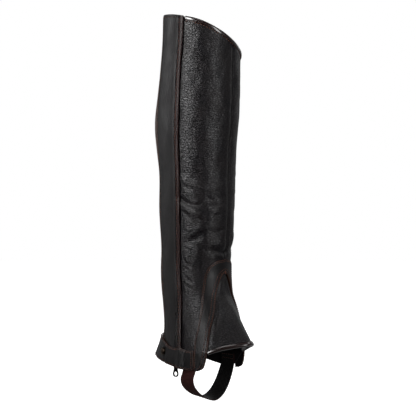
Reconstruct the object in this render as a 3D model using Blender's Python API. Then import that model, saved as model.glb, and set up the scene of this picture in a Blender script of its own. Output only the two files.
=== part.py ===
"""Tall leather half chap for the right leg, filled out as it is worn.

Up is +Z, the front of the leg is -Y and its outer side is -X. The origin lies on the
leg's own axis at calf height. Every sewn piece is cut from one leather form: a point
there has an angle round the leg in degrees (0 outer side, 90 front, 180 inner side,
-90 back), a height, and a lift off the leather's outer face.
"""

import math
from collections import namedtuple

import bmesh
import bpy
import numpy as np
from mathutils import Matrix, Vector

# Thickness of each material, and the play between pieces, in metres.
LEATHER = 0.0020
ELASTIC = 0.0014
ZIP_TAPE = 0.0010
BINDING = 0.0010
STRAP = 0.0013
SEAM_GAP = 0.0003
LAYER_GAP = 0.0005

# Small steps, in degrees and in metres, for the slope of the form, and the distance
# within which two corners are one.
STEP_ROUND = 0.5
STEP_UP = 0.001
MERGE = 0.00001

# The leg form: a row for each height, with its half width from side to side, its half
# depths before and behind its own middle, and how far that middle stands forward.
Section = namedtuple("Section", "height side front back forward")
SECTIONS = (
    Section(-0.345, 0.0380, 0.0455, 0.0560, -0.0020),
    Section(-0.300, 0.0380, 0.0455, 0.0545, -0.0020),
    Section(-0.285, 0.0380, 0.0455, 0.0510, -0.0020),
    Section(-0.272, 0.0375, 0.0450, 0.0465, -0.0020),
    Section(-0.258, 0.0370, 0.0440, 0.0440, -0.0020),
    Section(-0.222, 0.0370, 0.0435, 0.0470, -0.0010),
    Section(-0.206, 0.0375, 0.0438, 0.0486, -0.0015),
    Section(-0.179, 0.0380, 0.0440, 0.0484, -0.0030),
    Section(-0.160, 0.0390, 0.0462, 0.0472, -0.0026),
    Section(-0.104, 0.0425, 0.0500, 0.0500, -0.0020),
    Section(-0.060, 0.0450, 0.0493, 0.0494, -0.0010),
    Section(-0.034, 0.0465, 0.0511, 0.0509, -0.0017),
    Section(0.000, 0.0480, 0.0533, 0.0530, -0.0008),
    Section(0.037, 0.0480, 0.0530, 0.0530, 0.0017),
    Section(0.092, 0.0477, 0.0495, 0.0502, 0.0057),
    Section(0.136, 0.0475, 0.0490, 0.0490, 0.0070),
    Section(0.150, 0.0475, 0.0490, 0.0490, 0.0075),
)

# Below the ankle the front sweeps out over the foot to this outline, which it reaches
# at the height of the tip.
FLARE_TOP = -0.211
TIP_HEIGHT = -0.270
FLARE_EASE = 0.09
FLARE_LIMIT = 1.2
Instep = namedtuple("Instep", "angle side forward")
INSTEP = (
    Instep(0, 0.0380, -0.0020),
    Instep(15, 0.0390, 0.0105),
    Instep(30, 0.0383, 0.0255),
    Instep(45, 0.0345, 0.0425),
    Instep(60, 0.0265, 0.0585),
    Instep(75, 0.0145, 0.0740),
    Instep(90, 0.0000, 0.0835),
    Instep(105, -0.0145, 0.0740),
)

# Upper and lower edges, by angle.
Edge = namedtuple("Edge", "angle height")
TOP_EDGE = (
    Edge(-90, 0.1310), Edge(-50, 0.1330), Edge(-28, 0.1342), Edge(-8, 0.1335),
    Edge(10, 0.1312), Edge(22, 0.1292), Edge(36, 0.1258), Edge(48, 0.1215),
    Edge(70, 0.1120), Edge(93, 0.1010), Edge(118, 0.0910), Edge(135, 0.0865),
    Edge(160, 0.0840), Edge(180, 0.0855), Edge(200, 0.0920), Edge(225, 0.1075),
    Edge(250, 0.1245), Edge(270, 0.1310),
)
HEM_EDGE = (
    Edge(-90, -0.2840), Edge(-50, -0.2880), Edge(-20, -0.2940), Edge(0, -0.2985),
    Edge(17, -0.3010), Edge(30, -0.3000), Edge(44, -0.2830), Edge(56, -0.2775),
    Edge(70, -0.2735), Edge(90, -0.2700),
)
TOP_LEVEL = 0.1340
HEM_LEVEL = -0.3000
TOP_STRETCH = 0.0400
HEM_STRETCH = -0.2400

# Row levels up the gore and just above its point; all three front pieces share them.
GORE_LEVELS = (-0.3000, -0.2940, -0.2840, -0.2680, -0.2530, -0.2400, -0.2280, -0.2170,
               -0.2060, -0.1970, -0.1910, -0.1870)
APEX_LEVELS = (-0.1840, -0.1810, -0.1720)
SEAM_PASSES = 12

# Row spacing where the folds are, and the number of rows above them.
Rows = namedtuple("Rows", "creased plain")
OUTER_ROWS = Rows(0.0080, 10)
INNER_ROWS = Rows(0.0125, 8)
BACK_ROWS = Rows(0.0200, 9)
CREASED_SPAN = (-0.1640, -0.0500)
PLAIN_FOOT = -0.0480

# Columns of points across each panel.
OUTER_COLUMNS = 14
INNER_COLUMNS = 20
BACK_COLUMNS = 9
GORE_COLUMNS = 17

# Where the seams run.
FRONT_SEAM = 91.0
BACK_SEAM = 264.0
BACK_PLAY = 0.2
GUARD_BACK = -34.0
ELASTIC_FRONT = -28.0
GuardEdge = namedtuple("GuardEdge", "height angle")
GUARD_EDGE = (
    GuardEdge(-0.300, 11.0), GuardEdge(-0.200, 8.5), GuardEdge(-0.100, 9.8),
    GuardEdge(0.000, 10.5), GuardEdge(0.060, 9.0), GuardEdge(0.140, 12.0),
)

# The ankle overlay: a row for each station of its inner edge, along the gore, and its
# outer edge, from the near flap up to the front of the ankle. The far side mirrors it.
Station = namedtuple("Station", "gore_angle gore_height rim_angle rim_height")
OVERLAY = (
    Station(35.0, -0.3035, 31.2, -0.3035),
    Station(40.5, -0.3000, 30.6, -0.2960),
    Station(43.2, -0.2910, 30.6, -0.2860),
    Station(44.5, -0.2800, 31.0, -0.2740),
    Station(47.0, -0.2690, 32.5, -0.2630),
    Station(50.5, -0.2540, 36.0, -0.2490),
    Station(57.5, -0.2360, 39.5, -0.2320),
    Station(64.0, -0.2180, 42.0, -0.2150),
    Station(70.0, -0.2040, 45.5, -0.2000),
    Station(75.5, -0.1950, 49.5, -0.1875),
    Station(80.5, -0.1890, 57.0, -0.1765),
    Station(85.5, -0.1850, 70.0, -0.1695),
    Station(90.0, -0.1835, 90.0, -0.1670),
)

# The largest folds: where each lies, its half length and half width, how deep it is
# (a ridge is below zero) and how its line slants from level.
Fold = namedtuple("Fold", "angle height length width depth slant")
FOLDS = (
    Fold(80, -0.1590, 0.013, 0.0040, 0.0024, -14),
    Fold(84, -0.1480, 0.016, 0.0060, -0.0012, -6),
    Fold(62, -0.1560, 0.014, 0.0050, 0.0009, 24),
    Fold(20, -0.0960, 0.014, 0.0042, 0.0012, -28),
    Fold(30, -0.1080, 0.018, 0.0060, -0.0010, -30),
    Fold(22, -0.0640, 0.013, 0.0042, 0.0009, -30),
    Fold(38, -0.0760, 0.015, 0.0055, -0.0007, -26),
    Fold(66, -0.1060, 0.017, 0.0060, -0.0013, 4),
    Fold(64, -0.0930, 0.016, 0.0045, 0.0011, 8),
    Fold(62, -0.0780, 0.016, 0.0060, -0.0010, 12),
    Fold(34, -0.1400, 0.014, 0.0045, 0.0009, 30),
    Fold(48, -0.1270, 0.020, 0.0060, -0.0008, 20),
    Fold(110, -0.1560, 0.015, 0.0050, 0.0019, 12),
    Fold(118, -0.1380, 0.020, 0.0065, -0.0010, 16),
    Fold(150, -0.1180, 0.022, 0.0060, 0.0012, -18),
    Fold(176, -0.1360, 0.020, 0.0065, -0.0011, -12),
    Fold(205, -0.1050, 0.021, 0.0055, 0.0011, 16),
    Fold(228, -0.1500, 0.018, 0.0060, -0.0010, 20),
    Fold(160, -0.0760, 0.019, 0.0055, 0.0008, -22),
    Fold(195, -0.2050, 0.020, 0.0060, 0.0010, 14),
    Fold(215, -0.2230, 0.018, 0.0060, -0.0009, 10),
)
FOLD_RADIUS = 0.046

# Round the near side folds end above the overlay, and on the far side they go lower.
FOLD_FLOOR = -0.163
FOLD_FADE = 0.004
FAR_FROM = 160.0
FAR_FADE = 20.0

# How far the elastic swells at the calf.
SWELL_HEIGHT = 0.000
SWELL_SPREAD = 0.036
SWELL_DEPTH = 0.0030

# The ankle tab: how far its inner face stands off the form at its upper edge and at its
# hem, and the height of its upper edge. It hangs a little below the panels.
TabRow = namedtuple("TabRow", "angle top_lift hem_lift top")
TAB = (
    TabRow(-124, 0.0006, 0.0010, -0.2616), TabRow(-100, 0.0006, 0.0016, -0.2610),
    TabRow(-75, 0.0006, 0.0028, -0.2608), TabRow(-55, 0.0008, 0.0037, -0.2612),
    TabRow(-42, 0.0018, 0.0035, -0.2628), TabRow(-32, 0.0031, 0.0031, -0.2658),
    TabRow(-21, 0.0031, 0.0031, -0.2706), TabRow(-12, 0.0031, 0.0031, -0.2745),
    TabRow(0, 0.0031, 0.0031, -0.2762), TabRow(5, 0.0034, 0.0034, -0.2762),
    TabRow(9, 0.0037, 0.0037, -0.2756), TabRow(13, 0.0028, 0.0028, -0.2764),
    TabRow(18, 0.0010, 0.0010, -0.2785), TabRow(24, 0.0006, 0.0006, -0.2790),
    TabRow(30, 0.0006, 0.0006, -0.2788),
)
TAB_COLUMNS = (-124, -114, -104, -94, -84, -73, -62, -52, -42, -34, -27, -20, -12, -5, 2,
               5.5, 9, 13, 18, 24, 30)
TAB_ROWS = 5
TAB_DROP = 0.0012

# The snap's dome, by shares of its radius and its rise, and its play over the tab.
SNAP_ANGLE = -23.0
SNAP_HEIGHT = -0.2815
SNAP_RADIUS = 0.0050
SNAP_RISE = 0.0021
SNAP_GAP = 0.0006
SNAP_SIDES = 20
DomeRow = namedtuple("DomeRow", "radius rise")
SNAP_DOME = (
    DomeRow(0.00, 1.00), DomeRow(0.60, 0.90), DomeRow(0.90, 0.60), DomeRow(1.00, 0.25),
    DomeRow(0.94, 0.00), DomeRow(0.00, 0.00),
)

# The zip, its slider and its pull tab.
ZIP_SETBACK = 0.0120
ZIP_TOP = 0.1270
CHAIN_HALF = 0.0033
PANEL_STANDOFF = 0.0052
TAPE_HALF = 0.0135
TAPE_FACE = -0.0030
GUARD_HEM = -0.2835
TAPE_HEM = -0.2960
SLIDER_HEIGHT = -0.2922
SLIDER_WIDTH = 0.0090
SLIDER_LENGTH = 0.0110
PLATE = 0.0010
TAPE_PLAY = 0.0006
POST_WIDTH = 0.0036
POST_LENGTH = 0.0060
BRIDGE_WIDTH = 0.0022
BRIDGE_LENGTH = 0.0086
BRIDGE_WALL = 0.0009
PULL_BAR = 0.0012
PULL_PLAY = 0.0003
PULL_SLOT = 0.0046
PULL_EYE_SIDES = 14

# Half the pull tab's outline, by how far each point hangs below the hinge, and its eye.
PullRow = namedtuple("PullRow", "half_width drop")
PULL_ROWS = (
    PullRow(0.0029, -0.0006), PullRow(0.0031, 0.0052), PullRow(0.0030, 0.0064),
    PullRow(0.0031, 0.0086), PullRow(0.0037, 0.0106), PullRow(0.0044, 0.0130),
    PullRow(0.0045, 0.0148), PullRow(0.0037, 0.0167), PullRow(0.0018, 0.0178),
)
Eye = namedtuple("Eye", "half_width half_height drop")
PULL_EYE = Eye(0.0025, 0.0025, 0.0138)

# The guard's bead, by distance behind its free edge and lift, and its rounded top rear
# corner, by distance ahead of its rear edge and drop. Its top stands a little proud.
BeadRow = namedtuple("BeadRow", "behind lift")
BEAD = (
    BeadRow(0.0000, 0.0017), BeadRow(0.0011, 0.0031), BeadRow(0.0026, 0.0031),
    BeadRow(0.0042, 0.0024),
)
CornerRow = namedtuple("CornerRow", "ahead drop")
CORNER = (CornerRow(0.0000, 0.0036), CornerRow(0.0016, 0.0012), CornerRow(0.0042, 0.0000))
GUARD_RISE = 0.0010

# Columns across the flat of the guard and across the overlay, and the rise of the rear
# tape towards the guard, by shares across it.
FLAT_COLUMNS = 5
OVERLAY_COLUMNS = 5
TAPE_CLIMB = (0.0, 0.55, 1.0)

# Bindings: how deep their fold is, and the stretch of edge that each covers.
TOP_BINDING_DEPTH = 0.0040
TOP_BINDING_ENDS = (13.5, 263.0)
TOP_BINDING_RINGS = 33
GORE_BINDING_DEPTH = 0.0034

# The strap under the foot: a row for each point of its path from the outer side to the
# inner one, with the place of its middle and how much lower its front edge hangs.
StrapRow = namedtuple("StrapRow", "across height drop forward")
STRAP_ROWS = (
    StrapRow(-0.0339, -0.2800, 0.0000, 0.0158),
    StrapRow(-0.0339, -0.2960, 0.0000, 0.0158),
    StrapRow(-0.0374, -0.3065, 0.0000, 0.0158),
    StrapRow(-0.0408, -0.3140, 0.0000, 0.0160),
    StrapRow(-0.0385, -0.3225, 0.0010, 0.0165),
    StrapRow(-0.0290, -0.3310, 0.0022, 0.0172),
    StrapRow(-0.0150, -0.3375, 0.0036, 0.0178),
    StrapRow(0.0000, -0.3395, 0.0052, 0.0182),
    StrapRow(0.0120, -0.3345, 0.0066, 0.0186),
    StrapRow(0.0220, -0.3250, 0.0074, 0.0188),
    StrapRow(0.0300, -0.3120, 0.0070, 0.0190),
    StrapRow(0.0357, -0.2980, 0.0040, 0.0190),
    StrapRow(0.0362, -0.2860, 0.0000, 0.0188),
)
STRAP_WIDTH = 0.0200
STRAP_STEPS = 3

# The strap's cross section, by shares of its half width and half thickness.
SELVEDGE = (
    (-1.00, -0.60), (-1.00, 0.60), (-0.94, 1.00), (0.94, 1.00),
    (1.00, 0.60), (1.00, -0.60), (0.94, -1.00), (-0.94, -1.00),
)

# Finishes: colour, roughness and metallic value.
Finish = namedtuple("Finish", "colour roughness metallic")
GRAINED = Finish((0.024, 0.021, 0.022, 1.0), 0.48, 0.0)
SMOOTH = Finish((0.021, 0.018, 0.019, 1.0), 0.42, 0.0)
EDGING = Finish((0.055, 0.026, 0.022, 1.0), 0.30, 0.0)
STRETCH = Finish((0.060, 0.030, 0.026, 1.0), 0.85, 0.0)
WEBBING = Finish((0.045, 0.020, 0.017, 1.0), 0.85, 0.0)
TAPE = Finish((0.010, 0.009, 0.010, 1.0), 0.80, 0.0)
METAL = Finish((0.180, 0.170, 0.165, 1.0), 0.35, 0.9)


def clear_scene():
    """Remove whatever the scene holds."""
    for item in list(bpy.data.objects):
        bpy.data.objects.remove(item, do_unlink=True)


def curve(keys, values, at):
    """Read a table's column between its rows, along a smooth curve."""
    keys = np.asarray(keys, float)
    values = np.asarray(values, float)
    at = np.clip(at, keys[0], keys[-1])
    slopes = np.gradient(values, keys)
    row = np.clip(np.searchsorted(keys, at) - 1, 0, len(keys) - 2)
    step = keys[row + 1] - keys[row]
    t = (at - keys[row]) / step
    start = (2 * t**3 - 3 * t**2 + 1) * values[row] + (t**3 - 2 * t**2 + t) * step * slopes[row]
    end = (3 * t**2 - 2 * t**3) * values[row + 1] + (t**3 - t**2) * step * slopes[row + 1]
    return start + end


def column(table, key, value, at):
    """Read one named column of a table at the given keys."""
    return curve([getattr(r, key) for r in table], [getattr(r, value) for r in table], at)


def form(angle, height):
    """Points of the leg form, without its folds."""
    side, front, back, forward = (
        column(SECTIONS, "height", name, height) for name in Section._fields[1:]
    )
    turn = (angle + 180.0) % 360.0 - 180.0
    sine = np.sin(np.radians(turn))
    cosine = np.cos(np.radians(turn))
    across = -side * cosine
    ahead = np.where(sine >= 0, front, back) * sine + forward

    rise = (FLARE_TOP - height) / (FLARE_TOP - TIP_HEIGHT)
    share = np.clip((np.sqrt(rise**2 + FLARE_EASE**2) + rise) / 2, 0.0, FLARE_LIMIT)
    share = np.where(turn > 0, share, 0.0)
    near = np.clip(np.where(turn <= 90, turn, 180 - turn), 0, 90)
    instep_side = column(INSTEP, "angle", "side", near) * np.where(turn <= 90, -1, 1)
    instep_ahead = column(INSTEP, "angle", "forward", near)
    across = (1 - share) * across + share * instep_side
    ahead = (1 - share) * ahead + share * instep_ahead
    return np.stack([across, -ahead, height], -1)


def fold_depth(angle, height):
    """How far the folds press the leather in."""
    depth = np.zeros_like(angle)
    for fold in FOLDS:
        along = np.radians((angle - fold.angle + 180.0) % 360.0 - 180.0) * FOLD_RADIUS
        up = height - fold.height
        slant = math.radians(fold.slant)
        run = along * math.cos(slant) + up * math.sin(slant)
        off = up * math.cos(slant) - along * math.sin(slant)
        depth += fold.depth * np.exp(-((run / fold.length) ** 2) - (off / fold.width) ** 2)
    ankle = np.clip((height - FOLD_FLOOR) / FOLD_FADE, 0.0, 1.0)
    far = np.clip((angle - FAR_FROM) / FAR_FADE, 0.0, 1.0)
    return depth * np.maximum(ankle, far)


def leather(angle, height, lift=0.0):
    """Points of the leather at the given angles and heights, moved out by the lift."""
    angle, height, lift = np.broadcast_arrays(
        np.asarray(angle, float), np.asarray(height, float), np.asarray(lift, float)
    )
    round_step = form(angle + STEP_ROUND, height) - form(angle - STEP_ROUND, height)
    up_step = form(angle, height + STEP_UP) - form(angle, height - STEP_UP)
    normal = np.cross(round_step, up_step)
    normal /= np.linalg.norm(normal, axis=-1, keepdims=True)
    return form(angle, height) + normal * (lift - fold_depth(angle, height))[..., None]


def degrees_for(distance, angle, height):
    """The angle that spans a distance round the form."""
    step = form(np.asarray(angle + STEP_ROUND), np.asarray(height))
    step = step - form(np.asarray(angle - STEP_ROUND), np.asarray(height))
    return 2 * STEP_ROUND * distance / np.linalg.norm(step, axis=-1)


def edge_height(table, angle):
    """Height of the top or the hem at an angle."""
    return column(table, "angle", "height", angle)


def hem_height(angle):
    """Height of the hem, whose inner side mirrors its outer one."""
    return edge_height(HEM_EDGE, np.where(angle > 90, 180 - angle, angle))


def fitted(level, angle):
    """Move a level height so that the outermost ones lie on the top and the hem."""
    top = edge_height(TOP_EDGE, angle)
    hem = hem_height(angle)
    upper = TOP_STRETCH + (level - TOP_STRETCH) * (top - TOP_STRETCH) / (TOP_LEVEL - TOP_STRETCH)
    lower = HEM_STRETCH + (level - HEM_STRETCH) * (hem - HEM_STRETCH) / (HEM_LEVEL - HEM_STRETCH)
    return np.where(level > TOP_STRETCH, upper, np.where(level < HEM_STRETCH, lower, level))


def guard_edge(height):
    """Angle of the zip guard's free edge."""
    return column(GUARD_EDGE, "height", "angle", height)


def zip_centre(height):
    """Angle of the zip's middle line."""
    edge = guard_edge(height)
    return edge - degrees_for(ZIP_SETBACK, edge, height)


def gore_seam(height):
    """Angle of the seam between the side panel and the gore."""
    return column(OVERLAY, "gore_height", "gore_angle", height)


def coat(piece, finish):
    """Give a piece its own material."""
    material = bpy.data.materials.new(piece.name)
    material.use_nodes = True
    shader = material.node_tree.nodes["Principled BSDF"]
    shader.inputs["Base Color"].default_value = finish.colour
    shader.inputs["Roughness"].default_value = finish.roughness
    shader.inputs["Metallic"].default_value = finish.metallic
    piece.data.materials.append(material)


def settle(name, shape, finish, place=None, sharp=40):
    """Turn a closed shape into a named, smooth shaded piece."""
    bmesh.ops.recalc_face_normals(shape, faces=shape.faces)
    if shape.calc_volume(signed=True) < 0:
        bmesh.ops.reverse_faces(shape, faces=shape.faces)
    mesh = bpy.data.meshes.new(name)
    shape.to_mesh(mesh)
    shape.free()
    mesh.shade_smooth()
    mesh.set_sharp_from_angle(angle=math.radians(sharp))
    piece = bpy.data.objects.new(name, mesh)
    bpy.context.scene.collection.objects.link(piece)
    if place is not None:
        piece.matrix_world = place
    coat(piece, finish)
    return piece


def wall(name, angles, heights, outside, inside, finish):
    """Close a sheet between two lifts, over a grid of angles and heights."""
    faces_of = []
    shape = bmesh.new()
    for lift in (outside, inside):
        points = leather(angles, heights, lift)
        faces_of.append([[shape.verts.new(p) for p in row] for row in points])
    outer, inner = faces_of
    rows, columns = angles.shape
    for i in range(rows - 1):
        for j in range(columns - 1):
            shape.faces.new((outer[i][j], outer[i][j + 1], outer[i + 1][j + 1], outer[i + 1][j]))
            shape.faces.new((inner[i][j], inner[i + 1][j], inner[i + 1][j + 1], inner[i][j + 1]))
    rim = [(0, j) for j in range(columns - 1)] + [(i, columns - 1) for i in range(rows - 1)]
    rim += [(rows - 1, j) for j in range(columns - 1, 0, -1)] + [(i, 0) for i in range(rows - 1, 0, -1)]
    for (i, j), (k, m) in zip(rim, rim[1:] + rim[:1]):
        shape.faces.new((outer[i][j], inner[i][j], inner[k][m], outer[k][m]))
    return settle(name, shape, finish)


def sweep(name, rings, finish):
    """Bridge closed rings of points in turn and cap both ends."""
    shape = bmesh.new()
    loops = [[shape.verts.new(p) for p in ring] for ring in rings]
    for first, second in zip(loops, loops[1:]):
        for k in range(len(first)):
            n = (k + 1) % len(first)
            shape.faces.new((first[k], first[n], second[n], second[k]))
    shape.faces.new(list(reversed(loops[0])))
    shape.faces.new(loops[-1])
    return settle(name, shape, finish)


def levels(rows):
    """Row heights from the hem to the top, closer together where the folds are."""
    shin = np.arange(*CREASED_SPAN, rows.creased)
    calf = np.linspace(PLAIN_FOOT, TOP_LEVEL, rows.plain)
    return np.concatenate([GORE_LEVELS, APEX_LEVELS, shin, calf])


def panel_grid(rows, columns, near_edge, far_edge):
    """Angles and fitted heights of a panel between two edges, by level."""
    share = np.linspace(0.0, 1.0, columns)[None, :]
    low = near_edge(rows)[:, None]
    high = far_edge(rows)[:, None]
    angles = low + (high - low) * share
    return angles, fitted(rows[:, None] + 0 * angles, angles)


def front_edge(level, side):
    """Edge of a piece along the seams in front of it, on their near (-1) or far (1) side."""
    seam = gore_seam(level)
    for _ in range(SEAM_PASSES):
        seam = gore_seam(fitted(level, seam))
    seam = np.where(level > OVERLAY[-1].gore_height, FRONT_SEAM, seam)
    return seam + side * degrees_for(SEAM_GAP / 2, seam, level)


def outer_panel():
    """The grained panel from under the zip guard to the front seam."""
    def rear(level):
        centre = zip_centre(level)
        return centre + degrees_for(PANEL_STANDOFF, centre, level)

    angles, heights = panel_grid(
        levels(OUTER_ROWS), OUTER_COLUMNS, rear, lambda level: front_edge(level, -1)
    )
    wall("outer_panel", angles, heights, 0.0, -LEATHER, GRAINED)


def inner_panel():
    """The grained panel from the front seam round the inner side to the elastic."""
    def near(level):
        return np.where(level > OVERLAY[-1].gore_height, front_edge(level, 1),
                        180.0 - front_edge(level, -1))

    angles, heights = panel_grid(
        levels(INNER_ROWS), INNER_COLUMNS, near, lambda level: BACK_SEAM - BACK_PLAY + 0 * level
    )
    wall("inner_panel", angles, heights, 0.0, -LEATHER, GRAINED)


def elastic_panel():
    """The stretch panel down the back, swollen a little at the calf."""
    back = BACK_SEAM - 360.0 + BACK_PLAY
    angles, heights = panel_grid(
        levels(BACK_ROWS), BACK_COLUMNS, lambda h: back + 0 * h, lambda h: ELASTIC_FRONT + 0 * h
    )
    share = np.clip((angles - back) / (GUARD_BACK - back), 0.0, 1.0)
    swell = np.sin(math.pi * share) ** 2
    swell = swell * np.exp(-(((heights - SWELL_HEIGHT) / SWELL_SPREAD) ** 2))
    lift = SWELL_DEPTH * swell
    wall("elastic_panel", angles, heights, lift, lift - ELASTIC, STRETCH)


def zip_guard():
    """The smooth strip over the zip, with a turned bead along its free edge."""
    rows = levels(OUTER_ROWS)
    rows = np.concatenate([[GUARD_HEM], rows[rows > GUARD_HEM]])
    angles, heights, outside = [], [], []
    for row in rows:
        edge = guard_edge(row)
        step = degrees_for(1.0, edge, row)
        line = [GUARD_BACK + place.ahead * step for place in CORNER]
        line += list(np.linspace(line[-1], edge - BEAD[-1].behind * step, FLAT_COLUMNS)[1:-1])
        line += [edge - place.behind * step for place in reversed(BEAD)]
        high = fitted(np.full(len(line), row), np.array(line))
        if row == rows[-1]:
            high = high + GUARD_RISE
            high[: len(CORNER)] -= [place.drop for place in CORNER]
        angles.append(line)
        heights.append(high)
        flat = [LAYER_GAP + LEATHER] * (len(line) - len(BEAD))
        outside.append(flat + [place.lift for place in reversed(BEAD)])
    wall("zip_guard", np.array(angles), np.array(heights), np.array(outside), LAYER_GAP, SMOOTH)


def ankle_overlay():
    """The smooth piece over the ankle, cut out round the gore, with a flap each side."""
    count = len(OVERLAY)
    along = np.linspace(0, count - 1, 2 * count - 1)
    near = [curve(range(count), [getattr(s, name) for s in OVERLAY], along) for name in Station._fields]
    far = [180.0 - near[0][-2::-1], near[1][-2::-1], 180.0 - near[2][-2::-1], near[3][-2::-1]]
    gore_angle, gore_height, rim_angle, rim_height = (
        np.concatenate(pair)[:, None] for pair in zip(near, far)
    )
    share = np.linspace(0.0, 1.0, OVERLAY_COLUMNS)[None, :]
    angles = gore_angle + (rim_angle - gore_angle) * share
    heights = gore_height + (rim_height - gore_height) * share
    wall("ankle_overlay", angles, heights, LAYER_GAP + LEATHER, LAYER_GAP, SMOOTH)


def gore_grid():
    """Angles and heights of the gore, from its near seam to its far one."""
    return panel_grid(np.array(GORE_LEVELS), GORE_COLUMNS, lambda level: front_edge(level, 1),
                      lambda level: 180.0 - front_edge(level, 1))


def front_gore():
    """The three-cornered panel over the instep."""
    angles, heights = gore_grid()
    wall("front_gore", angles, heights, 0.0, -LEATHER, GRAINED)


def ankle_tab():
    """The tab round the back of the ankle that closes over the zip's end."""
    angles = np.array(TAB_COLUMNS)[None, :]
    top, top_lift, hem_lift = (
        column(TAB, "angle", name, angles) for name in ("top", "top_lift", "hem_lift")
    )
    share = np.linspace(0.0, 1.0, TAB_ROWS)[:, None]
    hem = hem_height(angles) - TAB_DROP
    heights = hem + (top - hem) * share
    lift = hem_lift + (top_lift - hem_lift) * share
    wall("ankle_tab", angles + 0 * heights, heights, lift + LEATHER, lift, SMOOTH)


def folded_binding(name, angles, edge, depth, side):
    """A strip folded over an edge, which lies above (1) or below (-1) the piece it binds."""
    low = -LEATHER - SEAM_GAP
    outline = (
        (-depth, SEAM_GAP), (SEAM_GAP, SEAM_GAP), (SEAM_GAP, low), (-depth, low),
        (-depth, low - BINDING), (BINDING * 0.6, low - BINDING * 0.7), (BINDING * 1.3, low * 0.5),
        (BINDING * 0.6, SEAM_GAP + BINDING * 0.7), (-depth, SEAM_GAP + BINDING),
    )
    rings = []
    for angle in angles:
        rings.append([leather(angle, edge(angle) + side * rise, lift) for rise, lift in outline])
    sweep(name, rings, EDGING)


def top_binding():
    """The binding along the top, from the zip guard round to the elastic."""
    angles = np.linspace(*TOP_BINDING_ENDS, TOP_BINDING_RINGS)
    folded_binding("top_binding", angles, lambda a: edge_height(TOP_EDGE, a), TOP_BINDING_DEPTH, 1)


def gore_binding():
    """The binding along the gore's hem."""
    folded_binding("gore_binding", gore_grid()[0][0, 1:-1], hem_height, GORE_BINDING_DEPTH, -1)


def zip_tapes():
    """The zip's two tapes: one under the side panel, one sewn up to the guard."""
    rows = levels(OUTER_ROWS)
    rows = rows[(rows > TAPE_HEM) & (rows < ZIP_TOP)]
    rows = np.concatenate([[TAPE_HEM], rows, [ZIP_TOP]])
    centre = zip_centre(rows)
    step = degrees_for(1.0, centre, rows)
    sides = (("zip_tape_front", 1, 0.0), ("zip_tape_rear", -1, LAYER_GAP - SEAM_GAP - TAPE_FACE))
    for name, side, climb in sides:
        distance = np.linspace(CHAIN_HALF, TAPE_HALF, len(TAPE_CLIMB))[None, :]
        angles = centre[:, None] + side * distance * step[:, None]
        heights = fitted(rows[:, None] + 0 * angles, angles)
        lift = TAPE_FACE + climb * np.array(TAPE_CLIMB)[None, :] + 0 * angles
        if side < 0:
            angles, heights, lift = angles[:, ::-1], heights[:, ::-1], lift[:, ::-1]
        wall(name, angles, heights, lift, lift - ZIP_TAPE, TAPE)


def surface_frame(angle, height, lift):
    """Axes on the form: x forward round the leg, y up and z out of the leather."""
    place = Vector(leather(angle, height, lift))
    forward = Vector(form(np.asarray(angle + STEP_ROUND), np.asarray(height))
                     - form(np.asarray(angle - STEP_ROUND), np.asarray(height)))
    forward.z = 0.0
    forward.normalize()
    up = Vector((0.0, 0.0, 1.0))
    axes = Matrix((forward, up, forward.cross(up))).transposed()
    return Matrix.Translation(place) @ axes.to_4x4()


def block(centre, size):
    """A closed block as a new shape."""
    shape = bmesh.new()
    bmesh.ops.create_cube(shape, size=1.0, matrix=Matrix.Translation(centre) @ Matrix.Diagonal((*size, 1.0)))
    return shape


def zip_slider():
    """The slider: two plates round the tapes, joined by a post, and a bridge on top."""
    plate_gap = ZIP_TAPE + 2 * TAPE_PLAY
    middle = TAPE_FACE - ZIP_TAPE / 2
    place = surface_frame(float(zip_centre(SLIDER_HEIGHT)), SLIDER_HEIGHT, middle)
    reach = (plate_gap + PLATE) / 2
    bridge_foot = plate_gap / 2 + PLATE
    bridge_top = bridge_foot + PULL_PLAY + PULL_BAR + PULL_PLAY
    leg = (bridge_top + BRIDGE_WALL - bridge_foot + PLATE / 2)
    leg_middle = bridge_foot - PLATE / 2 + leg / 2
    leg_y = (BRIDGE_LENGTH - BRIDGE_WALL) / 2
    solids = {
        "inner_plate": ((0, 0, -reach), (SLIDER_WIDTH, SLIDER_LENGTH, PLATE)),
        "outer_plate": ((0, 0, reach), (SLIDER_WIDTH, SLIDER_LENGTH, PLATE)),
        "post": ((0, 0, 0), (POST_WIDTH, POST_LENGTH, plate_gap + PLATE)),
        "upper_leg": ((0, leg_y, leg_middle), (BRIDGE_WIDTH, BRIDGE_WALL, leg)),
        "lower_leg": ((0, -leg_y, leg_middle), (BRIDGE_WIDTH, BRIDGE_WALL, leg)),
        "span": ((0, 0, bridge_top + BRIDGE_WALL / 2), (BRIDGE_WIDTH, BRIDGE_LENGTH, BRIDGE_WALL)),
    }
    slider = None
    for name, (centre, size) in solids.items():
        solid = settle("slider_" + name, block(Vector(centre), size), METAL, place)
        if slider is None:
            slider = solid
            continue
        union = slider.modifiers.new(name, "BOOLEAN")
        union.operation = "UNION"
        union.object = solid
        solid.hide_render = True
        solid.display_type = "WIRE"
    slider.name = "zip_slider"
    return place, bridge_foot


def flat_outline(outlines, thickness):
    """Fill an outline less its holes and give it a thickness."""
    drawing = bpy.data.curves.new("outline", "CURVE")
    drawing.dimensions = "2D"
    drawing.fill_mode = "BOTH"
    drawing.extrude = thickness / 2
    for points in outlines:
        spline = drawing.splines.new("POLY")
        spline.points.add(len(points) - 1)
        spline.use_cyclic_u = True
        for target, (x, y) in zip(spline.points, points):
            target.co = (x, y, 0.0, 1.0)
    holder = bpy.data.objects.new("outline", drawing)
    bpy.context.scene.collection.objects.link(holder)
    bpy.context.view_layer.update()
    mesh = bpy.data.meshes.new_from_object(holder)
    bpy.data.objects.remove(holder, do_unlink=True)
    shape = bmesh.new()
    shape.from_mesh(mesh)
    bmesh.ops.remove_doubles(shape, verts=shape.verts, dist=MERGE)
    return shape


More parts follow.
